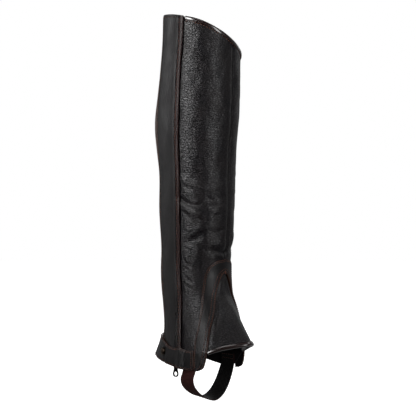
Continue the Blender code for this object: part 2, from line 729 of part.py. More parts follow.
def zip_pull(slider_place, bridge_foot):
    """The pull tab, hung by its cross bar under the slider's bridge."""
    bar = PULL_BAR / 2
    hang = BRIDGE_LENGTH / 2 - BRIDGE_WALL - PULL_PLAY - bar
    pivot = slider_place @ Matrix.Translation((0.0, -hang, bridge_foot + PULL_PLAY + bar))
    slot = BRIDGE_WIDTH / 2 + PULL_PLAY
    side = [(p.half_width, -p.drop) for p in PULL_ROWS]
    outline = side + [(-x, y) for x, y in reversed(side)]
    opening = [(-slot, -bar), (slot, -bar), (slot, -PULL_SLOT), (-slot, -PULL_SLOT)]
    turns = [2 * math.pi * k / PULL_EYE_SIDES for k in range(PULL_EYE_SIDES)]
    eye = [(PULL_EYE.half_width * math.cos(t), PULL_EYE.half_height * math.sin(t) - PULL_EYE.drop)
           for t in turns]
    shape = flat_outline([outline, opening, eye], PULL_BAR)
    settle("zip_pull", shape, METAL, pivot, sharp=30)


def snap_cap():
    """The domed cap of the snap on the ankle tab."""
    lift = float(column(TAB, "angle", "hem_lift", SNAP_ANGLE)) + LEATHER
    place = surface_frame(SNAP_ANGLE, SNAP_HEIGHT, lift + SNAP_GAP)
    shape = bmesh.new()
    verts = [shape.verts.new((SNAP_RADIUS * row.radius, 0.0, SNAP_RISE * row.rise))
             for row in SNAP_DOME]
    for first, second in zip(verts, verts[1:]):
        shape.edges.new((first, second))
    bmesh.ops.spin(shape, geom=shape.verts[:] + shape.edges[:], cent=(0, 0, 0), axis=(0, 0, 1),
                   angle=2 * math.pi, steps=SNAP_SIDES, use_merge=True)
    bmesh.ops.remove_doubles(shape, verts=shape.verts, dist=MERGE)
    settle("snap_cap", shape, METAL, place)


def foot_strap():
    """The elastic strap that passes under the foot."""
    count = len(STRAP_ROWS)
    at = np.linspace(0, count - 1, STRAP_STEPS * (count - 1) + 1)
    across, height, drop, forward = (
        curve(range(count), [getattr(r, name) for r in STRAP_ROWS], at) for name in StrapRow._fields
    )
    middle = np.stack([across, -forward, height], -1)
    lean = np.stack([0 * drop, np.full_like(drop, -STRAP_WIDTH / 2), -drop / 2], -1)
    tangent = np.gradient(middle, axis=0)
    outward = np.cross(lean, tangent)
    outward /= np.linalg.norm(outward, axis=-1, keepdims=True)
    rings = []
    for centre, half_width, normal in zip(middle, lean, outward):
        half_depth = normal * STRAP / 2
        rings.append([centre + half_width * w + half_depth * d for w, d in SELVEDGE])
    sweep("foot_strap", rings, WEBBING)


def build():
    """Make every piece of the half chap."""
    clear_scene()
    outer_panel()
    inner_panel()
    elastic_panel()
    zip_guard()
    front_gore()
    ankle_overlay()
    ankle_tab()
    top_binding()
    gore_binding()
    zip_tapes()
    slider_place, bridge_foot = zip_slider()
    zip_pull(slider_place, bridge_foot)
    snap_cap()
    foot_strap()


build()
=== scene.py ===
"""A tall leather half chap, dressed round its packed frame.

Up is +Z, the front of the leg is -Y and its outer side is -X, in metres. Every sewn piece
lies on one leather form: a point there has an angle round the leg in degrees (0 outer
side, 90 front, 180 inner side, -90 back), a height, and a lift off the leather's face.
"""

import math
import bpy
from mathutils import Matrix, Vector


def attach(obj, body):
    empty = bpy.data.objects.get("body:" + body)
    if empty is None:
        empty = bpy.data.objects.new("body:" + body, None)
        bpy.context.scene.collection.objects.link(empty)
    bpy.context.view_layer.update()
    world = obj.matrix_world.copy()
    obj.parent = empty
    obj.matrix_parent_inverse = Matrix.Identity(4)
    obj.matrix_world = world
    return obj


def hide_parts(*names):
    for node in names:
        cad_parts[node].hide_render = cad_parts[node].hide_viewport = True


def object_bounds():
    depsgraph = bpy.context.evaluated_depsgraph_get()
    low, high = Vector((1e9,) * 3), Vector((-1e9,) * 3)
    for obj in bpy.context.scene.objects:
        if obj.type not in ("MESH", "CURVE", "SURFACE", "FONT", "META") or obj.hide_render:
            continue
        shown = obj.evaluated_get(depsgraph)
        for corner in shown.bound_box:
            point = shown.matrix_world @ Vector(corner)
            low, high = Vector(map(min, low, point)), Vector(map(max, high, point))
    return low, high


bl_info = {
    "name": "Half Chap",
    "version": (1, 0, 0),
    "blender": (4, 5, 0),
    "location": "3D View > Sidebar > Half Chap",
    "description": "Leather, elastic, zip, strap and sewing of a tall half chap",
    "category": "Object",
}

from collections import namedtuple

import bmesh
import bpy
import numpy as np
from mathutils import Matrix, Vector

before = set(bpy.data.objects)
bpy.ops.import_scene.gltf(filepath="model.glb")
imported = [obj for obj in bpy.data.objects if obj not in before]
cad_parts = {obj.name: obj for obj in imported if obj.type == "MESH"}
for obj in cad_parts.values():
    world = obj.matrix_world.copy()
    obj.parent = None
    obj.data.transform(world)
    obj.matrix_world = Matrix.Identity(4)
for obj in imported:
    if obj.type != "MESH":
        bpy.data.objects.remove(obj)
CAD_BOX = [list(corner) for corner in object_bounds()]

# Thickness of each material, and the play between pieces. The bindings and the tapes are
# a little thinner than their solids.
LEATHER = 0.0020
ELASTIC = 0.0014
ZIP_TAPE = 0.0010
BINDING = 0.0010
STRAP = 0.0013
SEAM_GAP = 0.0003
LAYER_GAP = 0.0005
THIN_SHARE = 0.8

# How far the cut edges are rounded, and the degrees from which a corner counts as one.
CUT_ROUND = 0.0004
GUARD_ROUND = 0.0006
SMOOTH_ROUND = 0.0005
STRAP_ROUND = 0.0003
THIN_ROUND = 0.0002
CUT_CORNER = 50

# The leg form: half width from side to side, half depths before and behind its own
# middle, and how far that middle stands forward.
Section = namedtuple("Section", "height side front back forward")
SECTIONS = (
    Section(-0.345, 0.0380, 0.0455, 0.0560, -0.0020),
    Section(-0.300, 0.0380, 0.0455, 0.0545, -0.0020),
    Section(-0.285, 0.0380, 0.0455, 0.0510, -0.0020),
    Section(-0.272, 0.0375, 0.0450, 0.0465, -0.0020),
    Section(-0.258, 0.0370, 0.0440, 0.0440, -0.0020),
    Section(-0.222, 0.0370, 0.0435, 0.0470, -0.0010),
    Section(-0.206, 0.0375, 0.0438, 0.0486, -0.0015),
    Section(-0.179, 0.0380, 0.0440, 0.0484, -0.0030),
    Section(-0.160, 0.0390, 0.0462, 0.0472, -0.0026),
    Section(-0.104, 0.0425, 0.0500, 0.0500, -0.0020),
    Section(-0.060, 0.0450, 0.0493, 0.0494, -0.0010),
    Section(-0.034, 0.0465, 0.0511, 0.0509, -0.0017),
    Section(0.000, 0.0480, 0.0533, 0.0530, -0.0008),
    Section(0.037, 0.0480, 0.0530, 0.0530, 0.0017),
    Section(0.092, 0.0477, 0.0495, 0.0502, 0.0057),
    Section(0.136, 0.0475, 0.0490, 0.0490, 0.0070),
    Section(0.150, 0.0475, 0.0490, 0.0490, 0.0075),
)

# Below the ankle the front sweeps out over the foot to this outline, which it reaches
# at the height of the tip.
FLARE_TOP = -0.211
TIP_HEIGHT = -0.270
FLARE_EASE = 0.09
FLARE_LIMIT = 1.2
Instep = namedtuple("Instep", "angle side forward")
INSTEP = (
    Instep(0, 0.0380, -0.0020),
    Instep(15, 0.0390, 0.0105),
    Instep(30, 0.0383, 0.0255),
    Instep(45, 0.0345, 0.0425),
    Instep(60, 0.0265, 0.0585),
    Instep(75, 0.0145, 0.0740),
    Instep(90, 0.0000, 0.0835),
    Instep(105, -0.0145, 0.0740),
)

# Upper and lower edges, by angle.
Edge = namedtuple("Edge", "angle height")
TOP_EDGE = (
    Edge(-90, 0.1310), Edge(-50, 0.1330), Edge(-28, 0.1342), Edge(-8, 0.1335),
    Edge(10, 0.1312), Edge(22, 0.1292), Edge(36, 0.1258), Edge(48, 0.1215),
    Edge(70, 0.1120), Edge(93, 0.1010), Edge(118, 0.0910), Edge(135, 0.0865),
    Edge(160, 0.0840), Edge(180, 0.0855), Edge(200, 0.0920), Edge(225, 0.1075),
    Edge(250, 0.1245), Edge(270, 0.1310),
)
HEM_EDGE = (
    Edge(-90, -0.2840), Edge(-50, -0.2880), Edge(-20, -0.2940), Edge(0, -0.2985),
    Edge(17, -0.3010), Edge(30, -0.3000), Edge(44, -0.2830), Edge(56, -0.2775),
    Edge(70, -0.2735), Edge(90, -0.2700),
)

# A level is a height before it is fitted to the edges: levels above the top stretch and
# below the hem stretch are moved so that the outermost ones lie on the top and the hem.
# The overlay's tip is at the apex level, and the seam beside it is found in some passes.
TOP_LEVEL = 0.1340
HEM_LEVEL = -0.3000
TOP_STRETCH = 0.0400
HEM_STRETCH = -0.2400
APEX_LEVEL = -0.1835
SEAM_PASSES = 12

# Where the seams run.
FRONT_SEAM = 91.0
BACK_SEAM = 264.0
BACK_PLAY = 0.2
GUARD_BACK = -34.0
ELASTIC_FRONT = -28.0
GuardEdge = namedtuple("GuardEdge", "height angle")
GUARD_EDGE = (
    GuardEdge(-0.300, 11.0), GuardEdge(-0.200, 8.5), GuardEdge(-0.100, 9.8),
    GuardEdge(0.000, 10.5), GuardEdge(0.060, 9.0), GuardEdge(0.140, 12.0),
)
GUARD_HEM = -0.2835

# The ankle overlay: its inner edge along the gore and its outer rim, from the near flap up
# to the front of the ankle. The far side mirrors it.
Station = namedtuple("Station", "gore_angle gore_height rim_angle rim_height")
OVERLAY = (
    Station(35.0, -0.3035, 31.2, -0.3035),
    Station(40.5, -0.3000, 30.6, -0.2960),
    Station(43.2, -0.2910, 30.6, -0.2860),
    Station(44.5, -0.2800, 31.0, -0.2740),
    Station(47.0, -0.2690, 32.5, -0.2630),
    Station(50.5, -0.2540, 36.0, -0.2490),
    Station(57.5, -0.2360, 39.5, -0.2320),
    Station(64.0, -0.2180, 42.0, -0.2150),
    Station(70.0, -0.2040, 45.5, -0.2000),
    Station(75.5, -0.1950, 49.5, -0.1875),
    Station(80.5, -0.1890, 57.0, -0.1765),
    Station(85.5, -0.1850, 70.0, -0.1695),
    Station(90.0, -0.1835, 90.0, -0.1670),
)

# The largest folds: where each lies, its half length and half width, how deep it is
# (a ridge is below zero) and how its line slants from level.
Fold = namedtuple("Fold", "angle height length width depth slant")
FOLDS = (
    Fold(80, -0.1590, 0.013, 0.0040, 0.0024, -14),
    Fold(84, -0.1480, 0.016, 0.0060, -0.0012, -6),
    Fold(62, -0.1560, 0.014, 0.0050, 0.0009, 24),
    Fold(20, -0.0960, 0.014, 0.0042, 0.0012, -28),
    Fold(30, -0.1080, 0.018, 0.0060, -0.0010, -30),
    Fold(22, -0.0640, 0.013, 0.0042, 0.0009, -30),
    Fold(38, -0.0760, 0.015, 0.0055, -0.0007, -26),
    Fold(66, -0.1060, 0.017, 0.0060, -0.0013, 4),
    Fold(64, -0.0930, 0.016, 0.0045, 0.0011, 8),
    Fold(62, -0.0780, 0.016, 0.0060, -0.0010, 12),
    Fold(34, -0.1400, 0.014, 0.0045, 0.0009, 30),
    Fold(48, -0.1270, 0.020, 0.0060, -0.0008, 20),
    Fold(110, -0.1560, 0.015, 0.0050, 0.0019, 12),
    Fold(118, -0.1380, 0.020, 0.0065, -0.0010, 16),
    Fold(150, -0.1180, 0.022, 0.0060, 0.0012, -18),
    Fold(176, -0.1360, 0.020, 0.0065, -0.0011, -12),
    Fold(205, -0.1050, 0.021, 0.0055, 0.0011, 16),
    Fold(228, -0.1500, 0.018, 0.0060, -0.0010, 20),
    Fold(160, -0.0760, 0.019, 0.0055, 0.0008, -22),
    Fold(195, -0.2050, 0.020, 0.0060, 0.0010, 14),
    Fold(215, -0.2230, 0.018, 0.0060, -0.0009, 10),
)

# Folds and creases are laid out round a leg of this radius. The folds stop above the
# ankle overlay, and go on below it only on the inner side.
FOLD_RADIUS = 0.046
FOLD_FLOOR = -0.163
FOLD_FADE = 0.004
FAR_FROM = 160.0
FAR_FADE = 20.0

# Finer creases in the grained panels: each runs from one place to another, sags between
# them, and has a half width and a depth.
Crease = namedtuple("Crease", "angle height end_angle end_height sag width depth")
CREASES = (
    Crease(14.5, -0.0630, 28.5, -0.0700, 0.0010, 0.0016, 0.00045),
    Crease(12.5, -0.0730, 26.5, -0.0820, 0.0012, 0.0017, 0.00050),
    Crease(11.0, -0.0930, 26.0, -0.1005, 0.0010, 0.0018, 0.00085),
    Crease(24.0, -0.1000, 41.5, -0.0980, 0.0016, 0.0018, 0.00060),
    Crease(11.5, -0.1070, 25.5, -0.1180, -0.0010, 0.0017, 0.00055),
    Crease(29.0, -0.1130, 44.0, -0.1185, 0.0014, 0.0019, 0.00035),
    Crease(12.0, -0.1290, 24.0, -0.1350, 0.0010, 0.0017, 0.00035),
    Crease(12.0, -0.1490, 25.5, -0.1570, 0.0012, 0.0016, 0.00045),
    Crease(11.5, -0.1650, 29.0, -0.1770, 0.0014, 0.0017, 0.00060),
    Crease(13.0, -0.1750, 25.0, -0.1850, -0.0010, 0.0016, 0.00050),
    Crease(15.5, -0.1870, 29.5, -0.1960, 0.0012, 0.0016, 0.00045),
    Crease(13.0, -0.1980, 28.0, -0.2030, 0.0010, 0.0016, 0.00040),
    Crease(14.0, -0.2160, 27.0, -0.2190, -0.0008, 0.0016, 0.00025),
    Crease(27.5, -0.2240, 33.5, -0.2280, 0.0004, 0.0014, 0.00040),
    Crease(15.0, -0.2420, 27.0, -0.2400, 0.0008, 0.0018, 0.00025),
    Crease(51.5, 0.0140, 62.5, 0.0050, 0.0006, 0.0014, -0.00030),
    Crease(40.0, -0.0330, 56.0, -0.0400, 0.0012, 0.0022, 0.00025),
    Crease(60.0, -0.0480, 82.0, -0.0440, 0.0014, 0.0022, 0.00028),
    Crease(54.0, -0.0680, 80.0, -0.0720, 0.0012, 0.0020, 0.00038),
    Crease(52.0, -0.0920, 82.0, -0.0985, 0.0014, 0.0019, 0.00070),
    Crease(55.0, -0.1030, 82.0, -0.1090, -0.0010, 0.0018, 0.00060),
    Crease(48.0, -0.1180, 70.0, -0.1215, 0.0012, 0.0020, 0.00035),
    Crease(58.0, -0.1330, 84.0, -0.1290, 0.0016, 0.0021, 0.00040),
    Crease(61.0, -0.1550, 76.0, -0.1590, 0.0008, 0.0017, 0.00060),
    Crease(70.0, -0.1640, 86.0, -0.1660, 0.0006, 0.0018, 0.00080),
    Crease(38.0, -0.1560, 50.0, -0.1670, 0.0012, 0.0019, 0.00035),
    Crease(34.0, -0.1800, 42.0, -0.1920, 0.0008, 0.0017, 0.00030),
    Crease(98.0, -0.1640, 116.0, -0.1600, 0.0010, 0.0018, 0.00070),
    Crease(100.0, -0.1100, 128.0, -0.1040, 0.0016, 0.0019, 0.00055),
    Crease(102.0, -0.0900, 130.0, -0.0860, 0.0014, 0.0019, 0.00045),
    Crease(104.0, -0.1330, 126.0, -0.1270, 0.0014, 0.0020, 0.00040),
    Crease(112.0, -0.0640, 138.0, -0.0680, 0.0012, 0.0021, 0.00035),
    Crease(134.0, -0.1440, 166.0, -0.1520, 0.0018, 0.0020, 0.00055),
    Crease(140.0, -0.1000, 172.0, -0.0930, 0.0016, 0.0020, 0.00045),
    Crease(152.0, -0.1700, 184.0, -0.1650, 0.0018, 0.0019, 0.00060),
    Crease(160.0, -0.1880, 196.0, -0.1820, -0.0014, 0.0019, 0.00050),
    Crease(170.0, -0.1220, 204.0, -0.1290, 0.0016, 0.0020, 0.00045),
    Crease(178.0, -0.0560, 206.0, -0.0640, 0.0014, 0.0021, 0.00035),
    Crease(188.0, -0.1600, 222.0, -0.1700, 0.0018, 0.0019, 0.00060),
    Crease(200.0, -0.0880, 234.0, -0.0820, 0.0014, 0.0020, 0.00045),
    Crease(208.0, -0.1350, 244.0, -0.1280, 0.0016, 0.0020, 0.00050),
    Crease(214.0, -0.1880, 250.0, -0.1950, 0.0016, 0.0019, 0.00050),
    Crease(220.0, -0.1120, 256.0, -0.1180, -0.0014, 0.0020, 0.00045),
    Crease(224.0, -0.0480, 250.0, -0.0420, 0.0012, 0.0022, 0.00030),
    Crease(180.0, -0.2180, 214.0, -0.2240, 0.0014, 0.0020, 0.00045),
    Crease(222.0, -0.2360, 254.0, -0.2300, 0.0014, 0.0020, 0.00035),
    Crease(186.0, -0.2520, 216.0, -0.2470, 0.0012, 0.0021, 0.00030),
    Crease(150.0, -0.0200, 180.0, -0.0130, 0.0014, 0.0024, 0.00022),
    Crease(206.0, 0.0150, 236.0, 0.0090, 0.0014, 0.0024, 0.00022),
    Crease(120.0, 0.0300, 150.0, 0.0360, 0.0012, 0.0024, 0.00018),
)

# The soft ridge along a crease: its share of the depth, and its place and spread in half
# widths of the crease.
RIDGE_SHARE = 0.55
RIDGE_PLACE = 2.2
RIDGE_SPREAD = 1.5

# Slow unevenness of worn leather: how far it swells, and its waves round and up the leg.
Wave = namedtuple("Wave", "height turns rise phase")
WAVES = (
    Wave(0.00016, 7.0, 61.0, 0.4), Wave(0.00012, -11.0, 94.0, 1.9),
    Wave(0.00009, 17.0, 143.0, 4.1), Wave(0.00006, -23.0, 211.0, 2.7),
)

# How far the elastic swells at the calf.
SWELL_HEIGHT = 0.000
SWELL_SPREAD = 0.036
SWELL_DEPTH = 0.0030

# The ankle tab: how far its inner face stands off the form at its upper edge and at its
# hem, and the height of its upper edge. It hangs a little below the panels.
TabRow = namedtuple("TabRow", "angle top_lift hem_lift top")
TAB = (
    TabRow(-124, 0.0006, 0.0010, -0.2616), TabRow(-100, 0.0006, 0.0016, -0.2610),
    TabRow(-75, 0.0006, 0.0028, -0.2608), TabRow(-55, 0.0008, 0.0037, -0.2612),
    TabRow(-42, 0.0018, 0.0035, -0.2628), TabRow(-32, 0.0031, 0.0031, -0.2658),
    TabRow(-21, 0.0031, 0.0031, -0.2706), TabRow(-12, 0.0031, 0.0031, -0.2745),
    TabRow(0, 0.0031, 0.0031, -0.2762), TabRow(5, 0.0034, 0.0034, -0.2762),
    TabRow(9, 0.0037, 0.0037, -0.2756), TabRow(13, 0.0028, 0.0028, -0.2764),
    TabRow(18, 0.0010, 0.0010, -0.2785), TabRow(24, 0.0006, 0.0006, -0.2790),
    TabRow(30, 0.0006, 0.0006, -0.2788),
)
TAB_DROP = 0.0012

# Upright folds and ridges in the tab, by angle.
TabFold = namedtuple("TabFold", "angle spread depth")
TAB_FOLDS = (
    TabFold(-20.0, 1.1, 0.0013), TabFold(-16.0, 3.0, -0.0005), TabFold(-47.0, 4.0, 0.0007),
    TabFold(-78.0, 5.0, 0.0006), TabFold(-104.0, 6.0, 0.0006), TabFold(15.5, 2.6, 0.0004),
)

# The snap on the tab, and its outline from the middle of its dome over the rolled rim to
# the middle of its foot, in shares of its radius and its rise.
SNAP_ANGLE = -23.0
SNAP_HEIGHT = -0.2815
SNAP_RADIUS = 0.0050
SNAP_RISE = 0.0021
SNAP_GAP = 0.0006
SNAP_STEPS = 36
SNAP_OUTLINE = (
    (0.0, 1.0), (0.30, 0.97), (0.55, 0.86), (0.74, 0.66), (0.80, 0.52), (0.88, 0.60),
    (0.96, 0.48), (1.0, 0.25), (0.96, 0.0), (0.0, 0.0),
)

# The zip's teeth: their length in halves of the chain, their width in pitches, how thick
# they are and how far their middle lies under the tape's face, in tapes.
TOOTH_LENGTH = 1.35
TOOTH_WIDTH = 0.42
TOOTH_DEPTH = 0.0020
TOOTH_SINK = 0.4

# The zip, its slider and its pull tab.
ZIP_SETBACK = 0.0120
ZIP_TOP = 0.1270
CHAIN_HALF = 0.0033
PANEL_STANDOFF = 0.0052
TAPE_HALF = 0.0135
TAPE_FACE = -0.0030
TAPE_HEM = -0.2960
SLIDER_HEIGHT = -0.2922
SLIDER_WIDTH = 0.0090
SLIDER_LENGTH = 0.0110
PLATE = 0.0010
TAPE_PLAY = 0.0006
POST_WIDTH = 0.0036
POST_LENGTH = 0.0060
BRIDGE_WIDTH = 0.0022
BRIDGE_LENGTH = 0.0086
BRIDGE_WALL = 0.0009
PULL_BAR = 0.0012
PULL_PLAY = 0.0003
PULL_SLOT = 0.0046
PULL_EYE_SIDES = 28
CAST_SOFT = 0.00025
PULL_SOFT = 0.00022
MERGE_DISTANCE = 0.00001
PullRow = namedtuple("PullRow", "half_width drop")
PULL_ROWS = (
    PullRow(0.0029, -0.0006), PullRow(0.0031, 0.0052), PullRow(0.0030, 0.0064),
    PullRow(0.0031, 0.0086), PullRow(0.0037, 0.0106), PullRow(0.0044, 0.0130),
    PullRow(0.0045, 0.0148), PullRow(0.0037, 0.0167), PullRow(0.0018, 0.0178),
)
Eye = namedtuple("Eye", "half_width half_height drop")
PULL_EYE = Eye(0.0025, 0.0025, 0.0138)

# Bindings: how deep their fold is, and the degrees of edge that the top one covers. The
# gore's stops this many degrees short of its seams.
TOP_BINDING_DEPTH = 0.0040
TOP_BINDING_ENDS = (13.5, 263.0)
GORE_BINDING_DEPTH = 0.0034
GORE_BINDING_SHORT = 1.0

# The strap under the foot, from the outer side to the inner one: the place of its middle,
# and how much lower its front edge hangs.
StrapRow = namedtuple("StrapRow", "across height drop forward")
STRAP_ROWS = (
    StrapRow(-0.0339, -0.2800, 0.0000, 0.0158),
    StrapRow(-0.0339, -0.2960, 0.0000, 0.0158),
    StrapRow(-0.0374, -0.3065, 0.0000, 0.0158),
    StrapRow(-0.0408, -0.3140, 0.0000, 0.0160),
    StrapRow(-0.0385, -0.3225, 0.0010, 0.0165),
    StrapRow(-0.0290, -0.3310, 0.0022, 0.0172),
    StrapRow(-0.0150, -0.3375, 0.0036, 0.0178),
    StrapRow(0.0000, -0.3395, 0.0052, 0.0182),
    StrapRow(0.0120, -0.3345, 0.0066, 0.0186),
    StrapRow(0.0220, -0.3250, 0.0074, 0.0188),
    StrapRow(0.0300, -0.3120, 0.0070, 0.0190),
    StrapRow(0.0357, -0.2980, 0.0040, 0.0190),
    StrapRow(0.0362, -0.2860, 0.0000, 0.0188),
)
STRAP_WIDTH = 0.0200

# The guard's turned edge, by distance behind its free edge: a bead, the groove that its
# stitches pull in and a softer ridge behind. Near the top the stitches stand further back,
# and their row stops this share of its length short of both ends.
Ripple = namedtuple("Ripple", "behind spread rise")
GUARD_RIPPLES = (
    Ripple(0.0019, 0.0018, 0.0010), Ripple(0.0046, 0.0009, -0.0008),
    Ripple(0.0068, 0.0013, 0.0005),
)
GUARD_STITCH = 0.0046
GUARD_ROW_SHORT = 0.006
GUARD_ACROSS = 64
BEAD_COLUMNS = 18
STITCH_RETREAT = 0.0014
RETREAT_SPAN = 0.0400
GUARD_BORDER = 0.0022
CORNER_RADIUS = 0.0045
CORNER_FADE = 4 * CORNER_RADIUS
GUARD_RISE = 0.0010

# The front seam: both panels dip into it. The inner one swells beside it, as far as its
# own stitched groove.
SEAM_SINK = 0.0011
SEAM_SPREAD = 0.0024
SHIN_RIPPLES = (Ripple(0.0125, 0.0075, 0.0010), Ripple(0.0268, 0.0012, -0.0007))
SHIN_STITCH = 0.0268
SEAM_FADE = 0.0080

# The gore's sides lie under the overlay, and it swells a little beside them. The swell
# grows from a share at the hem, after a start, to its whole above the fade.
UNDERLAP = 0.0040
UNDERLAP_LIFT = 0.0004
UNDERLAP_FADE = 0.0100
GORE_SWELL = (Ripple(0.0052, 0.0034, 0.0008),)
GORE_HEM_SHARE = 0.5
GORE_HEM_FADE = 0.0120
GORE_HEM_START = 0.3
TIP_LEVEL = -0.1800

# The overlay and the tab are pared towards their edges, and stained along them. The tab's
# hem isn't pared, because the pull tab swings in front of it.
PARED = 0.0004
PARED_SPREAD = 0.0016
STAIN_WIDTH = 0.0008
OVERLAY_ACROSS = 18
OVERLAY_ALONG = 200
TAB_ACROSS = 96
TAB_ALONG = 20

# Sewn rows on the ankle overlay and the tab, by distance inside their edges. The
# overlay's end this many stations short of its tips, and where it narrows so far that a
# row comes within this share of its other edge. The tab's end this many degrees short.
RIM_STITCH = 0.0021
GORE_STITCHES = (0.0014, 0.0047)
OVERLAY_SHORT = 0.6
ROW_CLEAR = 0.05
TAB_BORDER = 0.0021
TAB_SHORT = (3.0, 2.8)

# Sewn rows on the panels: under the top binding, in the shin's groove and beside the
# elastic, and how far they stop short of the tip and the top. The groove's distance is
# measured this many degrees beyond the seam.
TOP_STITCH = 0.0010
SHIN_SHORT = (0.0120, 0.0050)
SHIN_MEASURED = 20.0
BACK_STITCH = 0.0026
BACK_ROW_FOOT = -0.2560
BACK_ROW_SHORT = 0.0060

# The tack at the gore's tip, in degrees and rows, and the rows across the strap's ends, by
# their shares along it and their share of its half width.
TACK_ENDS = (88.2, 91.8)
TACK_ROWS = 5
TACK_DROP = 0.0012
TACK_STEP = 0.0008
STRAP_SEWN = (0.010, 0.046, 0.955, 0.990)
STRAP_SEWN_WIDTH = 0.85
STRAP_STEP = 0.002

# A stitch slants by this share of its length and stands out by this share of its radius.
# Rows that carry load are sewn heavier.
SLANT = 0.12
PROUD = 0.4
HEAVY = 1.35

# The guard waves a little, by this much, over these lengths. Cells are closer together
# towards the guard's bead and towards the front seam by these powers.
GUARD_WAVE = 0.00012
GUARD_WAVE_ACROSS = 0.0050
GUARD_WAVE_UP = 0.0110
GUARD_EASE = 1.6
PANEL_EASE = 1.35

# Where the camera stands: it looks level at the middle of the photograph.
AZIMUTH = math.radians(-51.0)
AIM_RIGHT = 0.0125
AIM_HEIGHT = -0.10375
TO_CAMERA = Vector((math.sin(AZIMUTH), -math.cos(AZIMUTH), 0.0))
TO_RIGHT = Vector((math.cos(AZIMUTH), math.sin(AZIMUTH), 0.0))
VIEW_END = 25.0

# The paper floor, and how far it lies below the strap.
FLOOR_RADIUS = 6.0
FLOOR_DROP = 0.002

# The studio's lights: turned from the camera to its right and raised, in degrees. A grid
# narrows some of them to a beam, in degrees, that points above the camera's aim.
Softbox = namedtuple("Softbox", "name turn rise width height beam above")
SOFTBOXES = (
    Softbox("key", -42.0, 14.0, 0.56, 0.60, 36.0, 0.16),
    Softbox("side", -100.0, 16.0, 0.60, 0.60, 30.0, 0.10),
    Softbox("top", -12.0, 44.0, 1.10, 0.30, 180.0, 0.0),
    Softbox("fill", 36.0, 2.0, 0.45, 0.80, 180.0, 0.0),
    Softbox("crown", 72.0, 40.0, 0.50, 0.40, 180.0, 0.0),
    Softbox("rim", 130.0, 20.0, 0.40, 0.80, 180.0, 0.0),
    Softbox("back", 178.0, 30.0, 0.90, 0.90, 180.0, 0.0),
)
LIGHT_DISTANCE = 1.6

# One band of a wave texture is this wide at a scale of 1.
BAND = 2 * math.pi / 20

# The steps by which slopes and directions on the form are measured.
STEP_DEGREES = 0.5
STEP_UP = 0.001


def linear(code):
    """Linear colour of an sRGB hex value."""
    channels = [int(code[i:i + 2], 16) / 255 for i in (1, 3, 5)]
    return tuple(c / 12.92 if c <= 0.04045 else ((c + 0.055) / 1.055) ** 2.4 for c in channels)


# ---------------------------------------------------------------- what a user would change


class LeatherSettings(bpy.types.PropertyGroup):
    """Colours and grain of the leathers."""

    panel_colour: bpy.props.FloatVectorProperty(
        name="Panel colour", description="Dye of the pebbled panels", subtype="COLOR",
        size=3, min=0.0, max=1.0, default=linear("#141116"))
    strip_colour: bpy.props.FloatVectorProperty(
        name="Strip colour", description="Dye of the smooth guard, overlay and tab",
        subtype="COLOR", size=3, min=0.0, max=1.0, default=linear("#141113"))
    flesh_colour: bpy.props.FloatVectorProperty(
        name="Flesh colour", description="Dye of the leather's inside", subtype="COLOR",
        size=3, min=0.0, max=1.0, default=linear("#1b1819"))
    edge_colour: bpy.props.FloatVectorProperty(
        name="Edge colour", description="Stain of cut edges", subtype="COLOR",
        size=3, min=0.0, max=1.0, default=linear("#43291f"))
    binding_colour: bpy.props.FloatVectorProperty(
        name="Binding colour", description="Glaze of the folded bindings", subtype="COLOR",
        size=3, min=0.0, max=1.0, default=linear("#2a1512"))
    pebble: bpy.props.FloatProperty(
        name="Pebble", description="Width of one pebble of the grain", unit="LENGTH",
        min=0.0005, default=0.0022)
    pebble_depth: bpy.props.FloatProperty(
        name="Pebble depth", description="Depth of the furrows between pebbles",
        unit="LENGTH", min=0.0, default=0.00015)
    wrinkle_depth: bpy.props.FloatProperty(
        name="Wrinkle depth", description="Depth of the short wrinkles of the pebbled panels",
        unit="LENGTH", min=0.0, default=0.00042)
    pore: bpy.props.FloatProperty(
        name="Pore", description="Width of the smooth leather's fine grain", unit="LENGTH",
        min=0.0002, default=0.0010)


class SewingSettings(bpy.types.PropertyGroup):
    """Thread and stitches."""

    thread_colour: bpy.props.FloatVectorProperty(
        name="Thread colour", description="Colour of the brown thread", subtype="COLOR",
        size=3, min=0.0, max=1.0, default=linear("#6b4436"))
    pitch: bpy.props.FloatProperty(
        name="Pitch", description="From one stitch to the next", unit="LENGTH",
        min=0.001, default=0.0028)
    length: bpy.props.FloatProperty(
        name="Length", description="Length of a stitch on the leather", unit="LENGTH",
        min=0.0005, default=0.0020)
    radius: bpy.props.FloatProperty(
        name="Thread radius", description="Half the thread's thickness", unit="LENGTH",
        min=0.0001, default=0.00042)


class StretchSettings(bpy.types.PropertyGroup):
    """The elastic, the strap and the zip's tapes."""

    elastic_colour: bpy.props.FloatVectorProperty(
        name="Elastic colour", description="Yarn of the stretch panel", subtype="COLOR",
        size=3, min=0.0, max=1.0, default=linear("#4c332c"))
    strap_colour: bpy.props.FloatVectorProperty(
        name="Strap colour", description="Yarn of the strap's outer face", subtype="COLOR",
        size=3, min=0.0, max=1.0, default=linear("#472725"))
    strap_back_colour: bpy.props.FloatVectorProperty(
        name="Strap back colour", description="Yarn of the strap's inner face",
        subtype="COLOR", size=3, min=0.0, max=1.0, default=linear("#0d0b0c"))
    rib: bpy.props.FloatProperty(
        name="Rib", description="Width of one rib of the elastic", unit="LENGTH",
        min=0.0005, default=0.0015)


